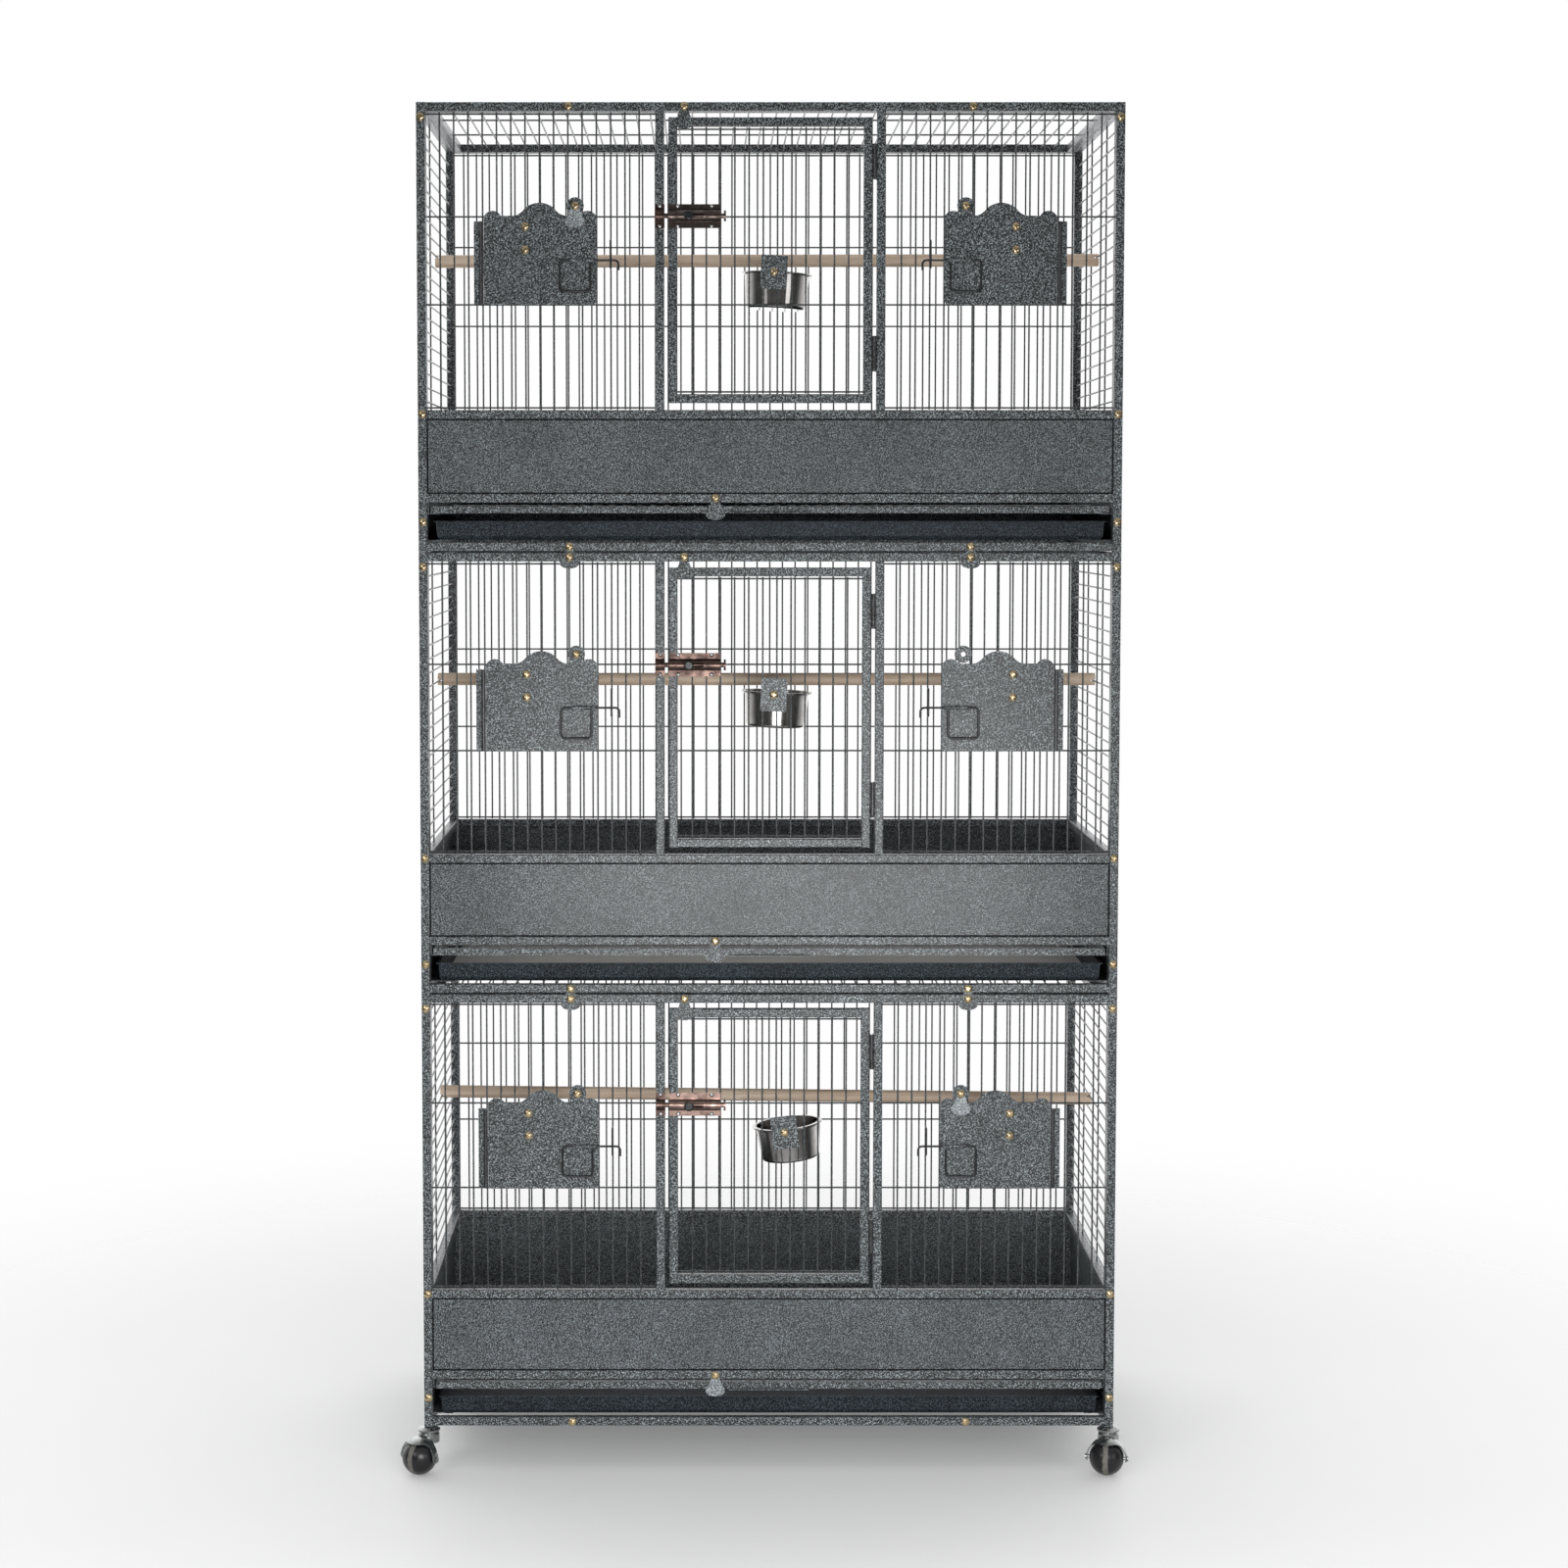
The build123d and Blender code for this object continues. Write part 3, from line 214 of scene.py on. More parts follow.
# %% Recipe for a painted finish
UNEVEN = (0.86, 1.12)  # brightness of the coat from one cloud to the next
DIMPLE_DULLNESS = 0.12  # how much rougher a dimple is than a vein
DIMPLE_DEPTH = 0.0004
CLEAR_ROUGHNESS = 0.22
FLAKE_METAL = 0.25  # the flakes make the paint partly a metal


def painted_finish(name, dimple, vein, cell, gloss, bump, clear=0.25, shine=0.5):
    material, tree, shader = start_material(name, preview=vein)
    coat = add_node(tree, "ShaderNodeGroup", {"Cell": cell}, node_tree=HAMMERED).outputs
    flecks = blend(tree, coat["Vein"], dimple, vein)
    uneven = stretch(tree, coat["Cloud"], MOST, UNEVEN)
    fill(shader, {
        "Base Color": vectors(tree, "SCALE", {0: flecks, "Scale": uneven}),
        "Roughness": stretch(tree, coat["Vein"], FULL, (gloss + DIMPLE_DULLNESS, gloss)),
        "Normal": dented(tree, coat["Vein"], bump, DIMPLE_DEPTH),
        "Metallic": FLAKE_METAL,
        "Specular IOR Level": shine,
        "Coat Weight": clear,
        "Coat Roughness": CLEAR_ROUGHNESS,
    })
    return material


print("recipe", painted_finish.__name__)

# %% [markdown]
# ## Eight versions of the coat
# Posts, rails and flaps have coarse cells, and on the wide apron sheets the cells stay finer. The
# trays have the same powder in a darker batch without the clear layer. Latches and staples have
# hardly any vein. The wires take a darker copy of the coat and the hinge barrels a dark one, as
# painted shade: the wires stand against the bright sheet behind, and the barrels are round. A few
# tabs take a much lighter copy, as a painted highlight where they are turned to the light, and the
# groove round each apron is painted nearly black, as painted shade in the recess. One coat could
# cover everything, but then neighbouring pieces would run into each other. So each is its own set
# of numbers for the same recipe.

# %% Mix the paints
BLACK_PAINT = (0.008, 0.009, 0.0095)
hammered_coat = painted_finish(
    "hammered_coat", dimple=BLACK_PAINT, vein=(0.41, 0.465, 0.492),
    cell=0.0021, gloss=0.36, bump=0.7)
sheet_coat = painted_finish(
    "sheet_coat", dimple=BLACK_PAINT, vein=(0.4, 0.458, 0.487),
    cell=0.0015, gloss=0.36, bump=0.7)
# A much lighter copy of the coat, as a painted highlight on tabs turned to the light.
tab_highlight_coat = painted_finish(
    "tab_painted_highlight", dimple=(0.12, 0.134, 0.146), vein=(0.84, 0.92, 0.95),
    cell=0.0015, gloss=0.3, bump=0.6)
tray_coat = painted_finish(
    "tray_coat", dimple=(0.006, 0.0075, 0.0095), vein=(0.1, 0.128, 0.152),
    cell=0.0015, gloss=0.3, bump=0.5, clear=0.0, shine=0.12)
latch_coat = painted_finish(
    "latch_coat", dimple=(0.005, 0.0055, 0.006), vein=(0.034, 0.037, 0.04),
    cell=0.0018, gloss=0.22, bump=0.2)
# A darker copy of the frame's coat, as painted shade on wires seen against the bright sheet.
wire_shade_coat = painted_finish(
    "wire_shade_coat", dimple=BLACK_PAINT, vein=(0.19, 0.212, 0.224),
    cell=0.0015, gloss=0.3, bump=0.5)
# A dark copy of the coat, as painted shade on the round hinge barrels.
hinge_shade_coat = painted_finish(
    "hinge_shade_coat", dimple=(0.014, 0.0145, 0.016), vein=(0.145, 0.154, 0.163),
    cell=0.0022, gloss=0.18, bump=0.3)
# Nearly black, as painted shade in the groove round each apron.
groove_painted_shade = painted_finish(
    "groove_painted_shade", dimple=(0.003, 0.003, 0.0035), vein=(0.016, 0.017, 0.018),
    cell=0.0015, gloss=0.5, bump=0.2, clear=0.0, shine=0.1)
dark_paints = (tray_coat, latch_coat, wire_shade_coat, hinge_shade_coat, groove_painted_shade)
print("painted", [paint.name for paint in (hammered_coat, sheet_coat, tab_highlight_coat, *dark_paints)])

# %% [markdown]
# ## Bare metals
# Spun stainless bowls, copper bolts, brass screws, zinc caster hoods and steel rivets differ in
# colour and polish but age alike. Clean metal of one colour would be easier, but it looks new and
# all the same. So one function mixes a clean and a dull colour by the tarnish patches, and lets
# scratches move the roughness a little. There are three coppers: the bottom bolt keeps the clean
# one, and the higher bolts take darker copies, as painted shade that deepens toward the top of the
# cage. The keepers take the middle, aged copy.

# %% Metal finishes
SCRATCH_ROUGHNESS = (-0.04, 0.06)


def metal_finish(name, clean, dull, polish, dulling, patch, scratch):
    material, tree, shader = start_material(name, preview=clean)
    sizes = {"Patch Size": patch, "Scratch Size": scratch}
    wear = add_node(tree, "ShaderNodeGroup", sizes, node_tree=TARNISH).outputs
    grime = stretch(tree, wear["Patch"], FULL, (polish, polish + dulling))
    streak = stretch(tree, wear["Scratch"], FULL, SCRATCH_ROUGHNESS)
    fill(shader, {
        "Base Color": blend(tree, wear["Patch"], clean, dull),
        "Roughness": sums(tree, "ADD", grime, streak, clamp=True),
        "Metallic": 1.0,
    })
    return material


stainless = metal_finish(
    "spun_stainless", clean=(0.44, 0.43, 0.42), dull=(0.32, 0.31, 0.3),
    polish=0.1, dulling=0.08, patch=0.03, scratch=0.002)
copper = metal_finish(
    "copper", clean=(0.38, 0.262, 0.226), dull=(0.11, 0.076, 0.066),
    polish=0.22, dulling=0.18, patch=0.012, scratch=0.001)
# A darker copy of the copper: painted shade on the middle bolt, and the keepers' aged copper.
shaded_aged_copper = metal_finish(
    "shaded_aged_copper", clean=(0.15, 0.1, 0.085), dull=(0.045, 0.031, 0.028),
    polish=0.24, dulling=0.18, patch=0.012, scratch=0.001)
# The darkest copy, as painted shade on the top bolt.
deep_shade_copper = metal_finish(
    "deep_shade_copper", clean=(0.14, 0.11, 0.1), dull=(0.045, 0.037, 0.034),
    polish=0.26, dulling=0.18, patch=0.012, scratch=0.001)
brass = metal_finish(
    "brass_screw", clean=(0.66, 0.54, 0.34), dull=(0.32, 0.245, 0.14),
    polish=0.18, dulling=0.15, patch=0.006, scratch=0.0008)
zinc = metal_finish(
    "zinc_hood", clean=(0.4, 0.415, 0.41), dull=(0.22, 0.235, 0.23),
    polish=0.16, dulling=0.16, patch=0.015, scratch=0.0015)
rivet_steel = metal_finish(
    "rivet_steel", clean=(0.66, 0.66, 0.66), dull=(0.4, 0.4, 0.41),
    polish=0.18, dulling=0.12, patch=0.004, scratch=0.0008)
coppers = (copper, shaded_aged_copper, deep_shade_copper)
print("metals", [metal.name for metal in (stainless, *coppers, brass, zinc, rivet_steel)])

# %% [markdown]
# ## Bare wood perches
# The perches are bare softwood dowels, and their grain runs along the dowel. A wave pattern could
# draw the grain, but its stripes come out too even. So it is noise drawn out along X, with pale and
# dark rings, and a duller, handled tone in places.

# %% Wood finish
ALONG_DOWEL = (0.04, 1.0, 1.0)
GRAIN_WIDTH = 0.006
GRAIN_STRENGTH, GRAIN_DEPTH = 0.35, 0.0006
RING_SPAN = (0.3, 0.68)  # noise, from a dark ring to a pale one
DARK_RING, PALE_RING = (0.64, 0.46, 0.335), (0.96, 0.79, 0.62)
HANDLED_SIZE, HANDLED_WOOD = 0.07, (0.68, 0.54, 0.42)
HANDLED_SPAN, HANDLED_COVER = (0.4, 0.75), (0.0, 0.5)  # handling hides at most half of the rings
WOOD_ROUGHNESS = (0.75, 0.55)


def perch_finish():
    material, tree, shader = start_material("perch_wood", preview=(0.5, 0.4, 0.29))
    place = place_on(tree)
    grain = clouds(tree, place, GRAIN_WIDTH, detail=5.0, roughness=0.6, stretched=ALONG_DOWEL)
    rings = blend(tree, stretch(tree, grain, RING_SPAN, FULL), DARK_RING, PALE_RING)
    blotches = clouds(tree, place, HANDLED_SIZE, detail=2.0)
    handled = stretch(tree, blotches, HANDLED_SPAN, HANDLED_COVER)
    fill(shader, {
        "Base Color": blend(tree, handled, rings, HANDLED_WOOD),
        "Roughness": stretch(tree, grain, FULL, WOOD_ROUGHNESS),
        "Normal": dented(tree, grain, GRAIN_STRENGTH, GRAIN_DEPTH),
    })
    return material


perch_wood = perch_finish()
print("wood", perch_wood.name)

# %% [markdown]
# ## A pale film in a tray
# The floor of the middle tray gets a pale film, thick in some places and thin in others, while the
# other trays keep their dark coat. A separate layer could be modelled over it, but from a few steps
# away only its tone shows. So slow noise sets how thick the film is, and fine noise gives it grit.

# %% Pale tray floor
FILM_SIZE = 0.16
FILM_SPAN, FILM_COVER = (0.3, 0.65), (0.6, 0.95)
FILM_ROUGHNESS = (0.45, 0.85)
GRIT_SIZE = 0.003
GRIT_SPAN, GRIT_COVER = (0.25, 0.75), (-0.25, 0.2)  # grit thins the film here and thickens it there
GRIT_STRENGTH, GRIT_DEPTH = 0.2, 0.0004
BARE_TRAY, PALE_FILM = (0.05, 0.047, 0.044), (0.62, 0.6, 0.56)


def tray_film_finish():
    material, tree, shader = start_material("tray_film_floor", preview=(0.45, 0.43, 0.4))
    place = place_on(tree)
    grit = clouds(tree, place, GRIT_SIZE, detail=2.0)
    film = clouds(tree, place, FILM_SIZE, detail=6.0, roughness=0.65)
    swept = stretch(tree, film, FILM_SPAN, FILM_COVER)
    thick = sums(tree, "ADD", swept, stretch(tree, grit, GRIT_SPAN, GRIT_COVER))
    fill(shader, {
        "Base Color": blend(tree, thick, BARE_TRAY, PALE_FILM),
        "Roughness": stretch(tree, film, MOST, FILM_ROUGHNESS),
        "Normal": dented(tree, grit, GRIT_STRENGTH, GRIT_DEPTH),
    })
    return material


pale_tray_film = tray_film_finish()
print("dust", pale_tray_film.name)

# %% [markdown]
# ## Ball wheels
# Each wheel is a black rubber ball with a grey band where it has rolled on concrete. The band could
# be a ring of its own, but it has no thickness, so it is painted. It goes round the wheel's own axle,
# and the casters stand turned, so each wheel gets a material that measures how far a point is from
# the wheel's middle along that axle. The axle is read from the joint that the wheel rolls on.

# %% Wheel finish
BLACK_RUBBER, WORN_RUBBER = (0.009, 0.009, 0.0105), (0.2, 0.19, 0.165)
BAND_EDGE = (0.0032, 0.0044)  # from the middle of the tread, where the worn band runs out
BAND_WEAR = (0.55, 1.0)
RAGGED = (-0.0022, 0.0022)  # how far the band's edge wanders
SCUFF_SIZE = 0.007
SCUFF_STRENGTH, SCUFF_DEPTH = 0.15, 0.0004
RUBBER_ROUGHNESS = (0.3, 0.8)  # of clean and of worn rubber


def wheel_finish(name, centre, axle):
    material, tree, shader = start_material(name, preview=(0.02, 0.02, 0.022))
    place = place_on(tree)
    offset = vectors(tree, "SUBTRACT", [place, centre])
    dot = add_node(tree, "ShaderNodeVectorMath", [offset, axle], operation="DOT_PRODUCT")
    scuffs = clouds(tree, place, SCUFF_SIZE, detail=4.0, roughness=0.65)
    along = sums(tree, "ADD", dot.outputs["Value"], stretch(tree, scuffs, FULL, RAGGED))
    band = stretch(tree, sums(tree, "ABSOLUTE", along), BAND_EDGE, (1.0, 0.0), smooth=True)
    worn = sums(tree, "MULTIPLY", band, stretch(tree, scuffs, MOST, BAND_WEAR))
    fill(shader, {
        "Base Color": blend(tree, worn, BLACK_RUBBER, WORN_RUBBER),
        "Roughness": stretch(tree, worn, FULL, RUBBER_ROUGHNESS),
        "Normal": dented(tree, scuffs, SCUFF_STRENGTH, SCUFF_DEPTH),
    })
    return material


wheel_rubber = {}
for joint in frame["joints"]:
    if joint["name"].endswith("_roll"):
        wheel = joint["child"]
        wheel_rubber[wheel] = wheel_finish(f"{wheel}_rubber", joint["pos_m"], joint["axis"])
print("wheels", sorted(wheel_rubber))

# %% [markdown]
# ## One finish for each node
# Every piece of the cage needs a main finish. It could be given by hand, piece by piece, but the
# names say what each piece is. So the finish is picked by the start of the name, and for the bolts
# by the tier, where the higher bolts take darker coppers as painted shade. Three tabs take the
# lighter coat, as a painted highlight. The first line that fits wins, so special cases come first,
# and what fits none is hammered like the frame.

# %% Dress every node
FINISH_BY_START = (
    ("frame_screws", brass),
    ("bolt_keepers", shaded_aged_copper),
    # The higher bolts take darker coppers, as painted shade.
    ("bolt_barrel_top", deep_shade_copper), ("bolt_rod_top", deep_shade_copper),
    ("bolt_barrel_middle", shaded_aged_copper), ("bolt_rod_middle", shaded_aged_copper), ("bolt_", copper),
    ("bowl_", stainless),
    # Three tabs take the lighter coat, as a painted highlight.
    ("tray_tab_bottom", tab_highlight_coat),
    ("flap_tab_left_top", tab_highlight_coat), ("flap_tab_right_bottom", tab_highlight_coat),
    ("tray_tab", hammered_coat), ("tray_", tray_coat),
    ("latch_", latch_coat),
    ("perches", perch_wood),
    ("caster_yoke", zinc), ("caster_sockets", latch_coat),
)
for name, thing in nodes.items():
    finish = wheel_rubber.get(name, hammered_coat)
    for start, material in FINISH_BY_START:
        if name.startswith(start):
            finish = material
            break
    thing.data.materials.clear()
    thing.data.materials.append(finish)
print("dressed", len(nodes), "nodes")

# %% [markdown]
# ## Finding the solids in a node
# A node can hold several solids: a flap carries its brass screws, and a bolt its steel rivets. They
# could be picked by hand in Edit Mode, but that would have to be done again for every tier. The mesh
# keeps them as separate islands, so the next helpers read the corners of every face, join faces that
# share a corner into islands, and pick islands by their size. Only the faces' material numbers
# change; no vertex moves.

# %% Islands of a mesh
MICRONS = 1e6  # in a metre; corners that agree to a micron are one corner


def face_corners(mesh):
    """Returns the three corner points of every face, in metres."""
    coords = np.empty(len(mesh.vertices) * 3)
    mesh.vertices.foreach_get("co", coords)
    corners = np.empty(len(mesh.loops), dtype=np.int64)
    mesh.loops.foreach_get("vertex_index", corners)
    return coords.reshape(-1, 3)[corners].reshape(-1, 3, 3)


def face_islands(corners):
    """Numbers the connected pieces of a mesh and returns one number per face."""
    keys = np.round(corners.reshape(-1, 3) * MICRONS).astype(np.int64)
    merged = np.unique(keys, axis=0, return_inverse=True)[1].reshape(-1, 3)
    label = np.arange(merged.max() + 1)
    while True:
        lowest = label[merged].min(axis=1)
        new = label.copy()
        for k in range(3):
            np.minimum.at(new, merged[:, k], lowest)
        new = new[new]
        if np.array_equal(new, label):
            return label[merged[:, 0]]
        label = new


def pieces_that_fit(corners, fits):
    """Picks the faces of every island whose X, Y and Z sizes pass a test."""
    label = face_islands(corners)
    chosen = np.zeros(len(corners), dtype=bool)
    for island in np.unique(label):
        mine = label == island
        points = corners[mine].reshape(-1, 3)
        chosen[mine] = fits(*(points.max(axis=0) - points.min(axis=0)))
    return chosen


def add_finish(mesh, material, chosen):
    """Gives the chosen faces, if any, one more material, and returns how many faces that is."""
    if not chosen.any():
        return 0
    index = np.empty(len(mesh.polygons), dtype=np.int32)
    mesh.polygons.foreach_get("material_index", index)
    index[chosen] = len(mesh.materials)
    mesh.materials.append(material)
    mesh.polygons.foreach_set("material_index", index)
    mesh.update()
    return int(chosen.sum())


print("island tools ready")

# %% [markdown]
# ## What the small pieces measure
# Each wire grille is one welded island: wide, but only five millimetres thick, or twenty where it
# carries a flap's hinge strip and staple. Screws and rivets are the small islands, and a door hinge
# is a narrow upright one. The plates that clamp a bowl to the wires are the flat islands beside it.
# The islands' numbers would change with every new mesh, so they are told apart by size instead.

# %% Tests by size
SCREW_WIDTH = 0.013
RIVET_WIDTH = 0.007
PLATE_THICKNESS = 0.008
PLATE_WIDTH = 0.02
GRILLE_THICKNESS = (0.004, 0.006)
BAY_THICKNESS = (0.015, 0.03)
GRILLE_WIDTH = 0.2
HINGE_WIDTH = 0.01
HINGE_DEPTH = (0.01, 0.02)
HINGE_HEIGHT = (0.04, 0.06)


def within(value, span):
    return (span[0] < value) & (value < span[1])


def is_screw(x, y, z):
    return max(x, z) < SCREW_WIDTH


def is_rivet(x, y, z):
    return max(x, z) < RIVET_WIDTH


def is_plate(x, y, z):
    return y < PLATE_THICKNESS and x > PLATE_WIDTH


def is_grille(x, y, z):
    return within(min(x, y, z), GRILLE_THICKNESS) and max(x, y, z) > GRILLE_WIDTH


def is_bay(x, y, z):
    return within(y, BAY_THICKNESS) and min(x, z) > GRILLE_WIDTH


def is_hinge(x, y, z):
    return x < HINGE_WIDTH and within(y, HINGE_DEPTH) and within(z, HINGE_HEIGHT)


print("screws under", SCREW_WIDTH, "rivets under", RIVET_WIDTH, "grilles over", GRILLE_WIDTH)

# %% [markdown]
# ## Wires, hinges, screws and plates
# The small pieces were plated, sprayed or left bare before they went onto the cage, so each kind has
# one finish wherever it sits. The wires and the door hinges take darker copies of the frame's coat,
# as painted shade. A line of the list gives the start of a node's name, the finish, and the test for
# the islands that take it. A list is easier to read and mend than a loop for each kind.

# %% Dress the small pieces
PIECE_RULES = (
    ("feeder_door", brass, is_screw), ("door_tab", brass, is_screw), ("flap_tab", brass, is_screw),
    ("tray_tab", brass, is_screw), ("stacking_plates", brass, is_screw), ("bowl_", brass, is_screw),
    ("bowl_", hammered_coat, is_plate),
    ("bolt_barrel", rivet_steel, is_rivet), ("bolt_keepers", rivet_steel, is_rivet),
    # The wires take the darker coat and the door hinges the dark one, as painted shade.
    ("front_panel", wire_shade_coat, is_bay), ("front_panel", hinge_shade_coat, is_hinge),
    ("door_", wire_shade_coat, is_grille), ("door_", hinge_shade_coat, is_hinge),
    ("back_panels", wire_shade_coat, is_grille), ("side_panels", wire_shade_coat, is_grille),
    ("roof_panels", wire_shade_coat, is_grille),
)
count = 0
for name, thing in nodes.items():
    for start, material, fits in PIECE_RULES:
        if name.startswith(start):
            count += add_finish(thing.data, material, pieces_that_fit(face_corners(thing.data), fits))
print("faces of wires, hinges, screws, rivets and plates", count)

# %% [markdown]
# ## Where a bigger solid changes its finish
# Some spots are part of a bigger solid: whatever stands in front of the bay wires, the apron and
# skirt sheets between the posts, the groove round the apron, the latch staples, the barrels of the
# flap hinges, the knob of a bolt, and the pale floor of the middle tray. They could be cut off as
# solids of their own, but on the cage they are welded or bent from one piece. So they are found by
# where they are. X runs to the right, Y to the back, and up is the height over the foot of a tier.

# %% Tests by place
FRONT_OF_WIRES = -0.24895
DOOR_HINGE_REACH = 0.16  # the door's hinges are nearer to the middle than this
INSIDE_POSTS_X, INSIDE_POSTS_Y = 0.49, 0.23
APRON_UP, SKIRT_UP = (0.1, 0.18), (0.02, 0.066)
GROOVE_Y, GROOVE_NEAR, GROOVE_UP = -0.2504, 0.0004, (0.084, 0.194)
STAPLE_X, STAPLE_FRONT, STAPLE_UP = 0.2293, -0.2492, (0.404, 0.45)
FLAP_HINGE_X, FLAP_HINGE_FRONT, FLAP_HINGE_UP = 0.4155, -0.2502, (0.35, 0.48)
BESIDE = 0.003  # half the width of a staple or a hinge barrel, with room
KNOB_FRONT = -0.2684
TRAY_FLOOR_UP, TRAY_FLOOR_NEAR = 0.0199, 0.0005


def before_wires(x, y, up):
    return (y < FRONT_OF_WIRES) & (abs(x) > DOOR_HINGE_REACH)


def on_sheet(x, y, up):
    between_posts = (abs(x) < INSIDE_POSTS_X) | (abs(y) < INSIDE_POSTS_Y)
    return between_posts & (within(up, APRON_UP) | within(up, SKIRT_UP))


def in_groove(x, y, up):
    return (abs(y - GROOVE_Y) < GROOVE_NEAR) & within(up, GROOVE_UP)


def on_staple(x, y, up):
    return (abs(abs(x) - STAPLE_X) < BESIDE) & (y < STAPLE_FRONT) & within(up, STAPLE_UP)


def on_flap_hinge(x, y, up):
    return (abs(abs(x) - FLAP_HINGE_X) < BESIDE) & (y < FLAP_HINGE_FRONT) & within(up, FLAP_HINGE_UP)


def on_knob(x, y, up):
    return y < KNOB_FRONT


def on_tray_floor(x, y, up):
    return abs(up - TRAY_FLOOR_UP) < TRAY_FLOOR_NEAR


print("staples at", STAPLE_X, "flap hinges at", FLAP_HINGE_X, "from the middle")

# %% [markdown]
# ## Places with their own finish
# The apron's finer cells, the painted shade in its groove, the dark staples and the painted shade
# on the flap hinge barrels make a welded panel look like the many parts that it is made of. Each
# place could have its own lines of code. A list like the last one, with a test by place, says the
# same in less. A later line may paint over an earlier one.

# %% Dress the places
FOOT_HEIGHT = 0.065  # of the lowest tier, over the floor
TIER_HEIGHT = 0.644
PLACE_RULES = (
    ("front_panel", hammered_coat, before_wires),
    ("front_panel", sheet_coat, on_sheet), ("back_panels", sheet_coat, on_sheet),
    ("side_panels", sheet_coat, on_sheet),
    # Painted shade in the groove round the apron.
    ("front_panel", groove_painted_shade, in_groove),
    ("front_panel", latch_coat, on_staple),
    # Painted shade on the barrels of the flap hinges.
    ("front_panel", hinge_shade_coat, on_flap_hinge), ("feeder_door", hinge_shade_coat, on_flap_hinge),
    ("bolt_rod", latch_coat, on_knob),
    ("tray_middle", pale_tray_film, on_tray_floor),
)
for name, thing in nodes.items():
    for start, material, here in PLACE_RULES:
        if name.startswith(start):
            x, y, z = face_corners(thing.data).mean(axis=1).T
            count = add_finish(thing.data, material, here(x, y, (z - FOOT_HEIGHT) % TIER_HEIGHT))
            print(name, material.name, here.__name__, count)

# %% [markdown]
# ## Floor
# The cage stands on pale vinyl. An endless plane would do, but its horizon would cut across the
# picture behind the wires. So the floor is one wide disc that fades out well before its rim. It
# belongs to the stage, not to the cage.

# %% Make the floor
FLOOR_RADIUS = 8.0
FLOOR_SIDES = 96
FADE_RADII, FADE = (0.6, 2.3), (0.85, 0.0)  # how solid the floor is, near the cage and far from it
VINYL_CLOUD, VINYL_TONE = 0.3, (0.92, 0.96)
VINYL_ROUGHNESS, VINYL_SHINE = 0.6, 0.2


def vinyl_finish():
    material, tree, shader = start_material("pale_floor", preview=(0.9, 0.9, 0.9))
    place = place_on(tree)
    reach = add_node(tree, "ShaderNodeVectorMath", [place], operation="LENGTH").outputs["Value"]
    fill(shader, {
        "Base Color": stretch(tree, clouds(tree, place, VINYL_CLOUD), FULL, VINYL_TONE),
        "Roughness": VINYL_ROUGHNESS,
        "Specular IOR Level": VINYL_SHINE,
        "Alpha": stretch(tree, reach, FADE_RADII, FADE, smooth=True),
    })
    return material


turns = [k * math.tau / FLOOR_SIDES for k in range(FLOOR_SIDES)]
rim = [(FLOOR_RADIUS * math.cos(turn), FLOOR_RADIUS * math.sin(turn), 0.0) for turn in turns]
disc = bpy.data.meshes.new("floor")
disc.from_pydata(rim, [], [list(range(FLOOR_SIDES))])
disc.materials.append(vinyl_finish())
floor = bpy.data.objects.new("floor", disc)
bpy.context.scene.collection.objects.link(floor)
print("floor", floor.name, "radius", FLOOR_RADIUS)

# %% [markdown]
# ## Studio sky
# The cage stands in front of a bright white sheet, under a pale ceiling, and the room behind the
# camera is dim. Lamps alone in a dark room would light it too, but polished steel shows whatever is
# around it. So the room is a soft sky: the sheet lights the edges of wires and rails from behind, and
# the dim side gives the bowls their dark bands. Where the camera looks past the cage it sees plain
# white.

# %% Hang the sky
WHITE = (1.0, 1.0, 1.0, 1.0)
SHEET_SPAN, SHEET_LEVEL = (-0.2, 0.8), (0.1, 1.7)  # from the front to the back of the room
CEILING_SPAN, CEILING_LEVEL = (0.1, 0.9), (0.0, 0.55)  # from low to overhead


def studio_sky():
    world = bpy.data.worlds.new("studio")
    bpy.context.scene.world = world
    world.use_nodes = True
    tree = world.node_tree
    tree.nodes.clear()
    out = tree.nodes.new("ShaderNodeOutputWorld")
    look = add_node(tree, "ShaderNodeTexCoord").outputs["Generated"]
    toward = add_node(tree, "ShaderNodeSeparateXYZ", [look]).outputs
    sheet = stretch(tree, toward["Y"], SHEET_SPAN, SHEET_LEVEL, smooth=True)
    ceiling = stretch(tree, toward["Z"], CEILING_SPAN, CEILING_LEVEL, smooth=True)
    level = sums(tree, "MAXIMUM", sheet, ceiling)
    soft = add_node(tree, "ShaderNodeBackground", {"Color": WHITE, "Strength": level})
    plain = add_node(tree, "ShaderNodeBackground", {"Color": WHITE, "Strength": 1.0})
    seen = add_node(tree, "ShaderNodeLightPath").outputs["Is Camera Ray"]
    both = add_node(tree, "ShaderNodeMixShader", [seen, soft.outputs[0], plain.outputs[0]])
    fill(out, {"Surface": both.outputs[0]})
    return world


print("sky", studio_sky().name)

# %% [markdown]
# ## Soft boxes
# The front of the cage is lit by large soft lamps. Two could be enough, but the aprons in the middle
# are the brightest part of the cage. So one soft box stands on each side, and a small one close to
# the middle tier is the strongest. Its light falls off toward the top and the corners.


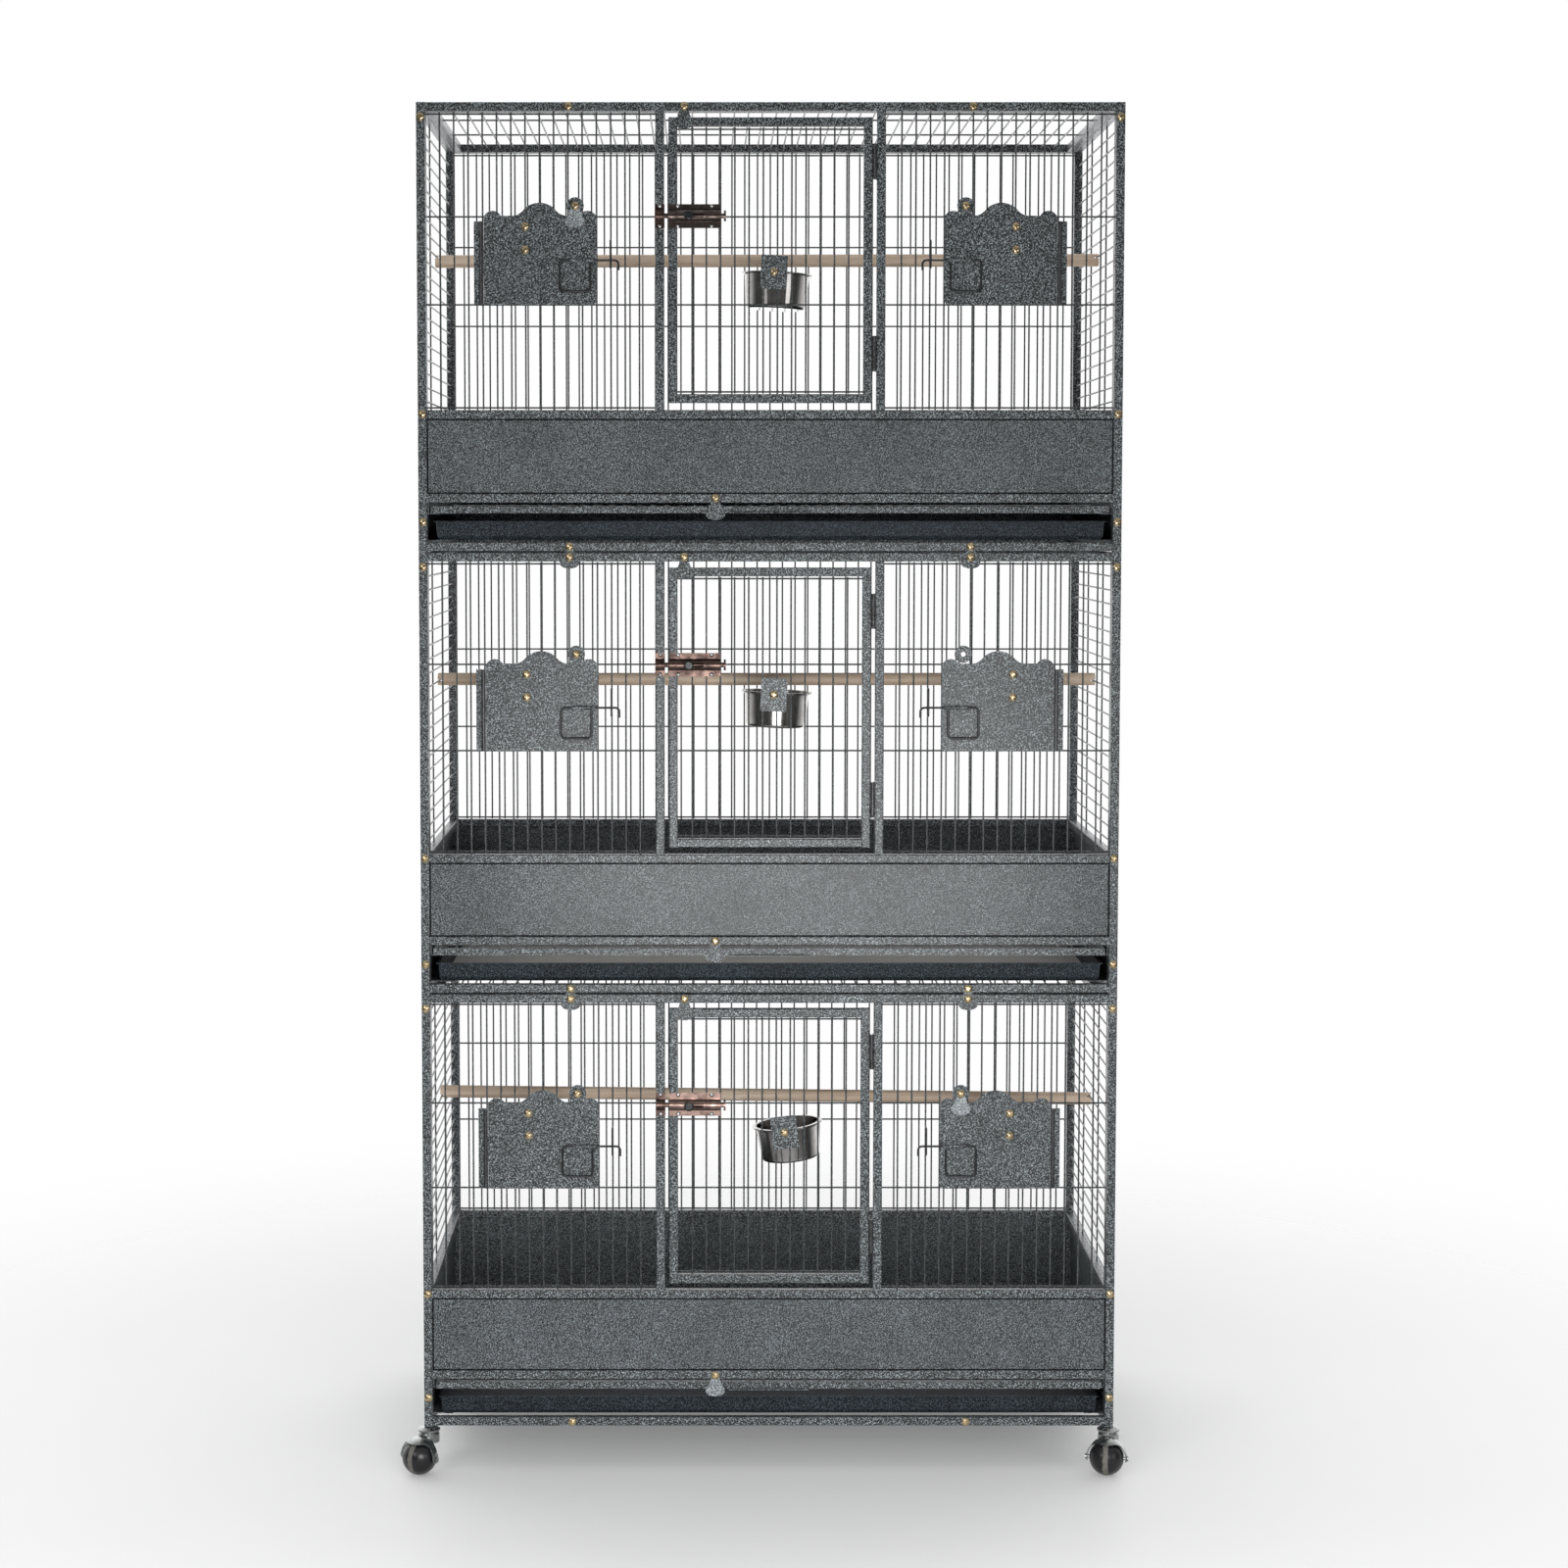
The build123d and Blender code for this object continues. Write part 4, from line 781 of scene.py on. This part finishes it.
# %% Light the front
def soft_box(name, place, target, width, height, watts):
    light = bpy.data.lights.new(name, "AREA")
    light.shape = "RECTANGLE"
    light.size = width
    light.size_y = height
    light.energy = watts
    lamp = bpy.data.objects.new(name, light)
    bpy.context.scene.collection.objects.link(lamp)
    lamp.location = place
    lamp.rotation_euler = (Vector(target) - Vector(place)).to_track_quat("-Z", "Y").to_euler()
    lamp.visible_camera = False
    return lamp


CAGE_MIDDLE = (0.0, 0.0, 0.8)
MIDDLE_TIER = (0.05, -0.25, 0.9)
lamps = [
    soft_box("left_box", place=(-2.4, -3.4, 2.3), target=CAGE_MIDDLE,
             width=1.3, height=1.3, watts=22.0),
    soft_box("right_box", place=(3.0, -3.2, 1.3), target=CAGE_MIDDLE,
             width=1.6, height=1.6, watts=16.0),
    soft_box("near_box", place=(0.09, -2.3, 0.74), target=MIDDLE_TIER,
             width=1.1, height=0.8, watts=25.0),
]
print("lamps", [(lamp.name, lamp.data.energy) for lamp in lamps])

# %% [markdown]
# ## Camera
# The picture was taken from a little left of the middle, from about the height of the top tier's
# tray, some four metres away. The framing could come from moving the lens far in its mount, as on a
# view camera, but a large shift pushes the cage out of every other view. So the lens moves only a
# little, and the rest of the framing comes from a slight downward tilt.

# %% Set the camera
FRAME_PX = 1600
FOCAL_PX = 3004.8
SENSOR_MM = 36.0
LENS_SHIFT = (0.049, -0.045)  # in widths of the frame
TILT_DEG = 3.8735
CAMERA_PLACE = (-0.0909, -4.516, 1.4088)
camera_data = bpy.data.cameras.new("camera")
camera_data.sensor_width = SENSOR_MM
camera_data.lens = SENSOR_MM * FOCAL_PX / FRAME_PX
camera_data.shift_x, camera_data.shift_y = LENS_SHIFT
camera_data.clip_end = 100.0
camera = bpy.data.objects.new("camera", camera_data)
bpy.context.scene.collection.objects.link(camera)
camera.location = CAMERA_PLACE
camera.rotation_euler = (math.radians(90.0 - TILT_DEG), 0.0, 0.0)
bpy.context.scene.camera = camera
bpy.context.scene.view_settings.view_transform = "Standard"
print("camera", tuple(round(v, 3) for v in camera.location), "lens", round(camera_data.lens, 2))
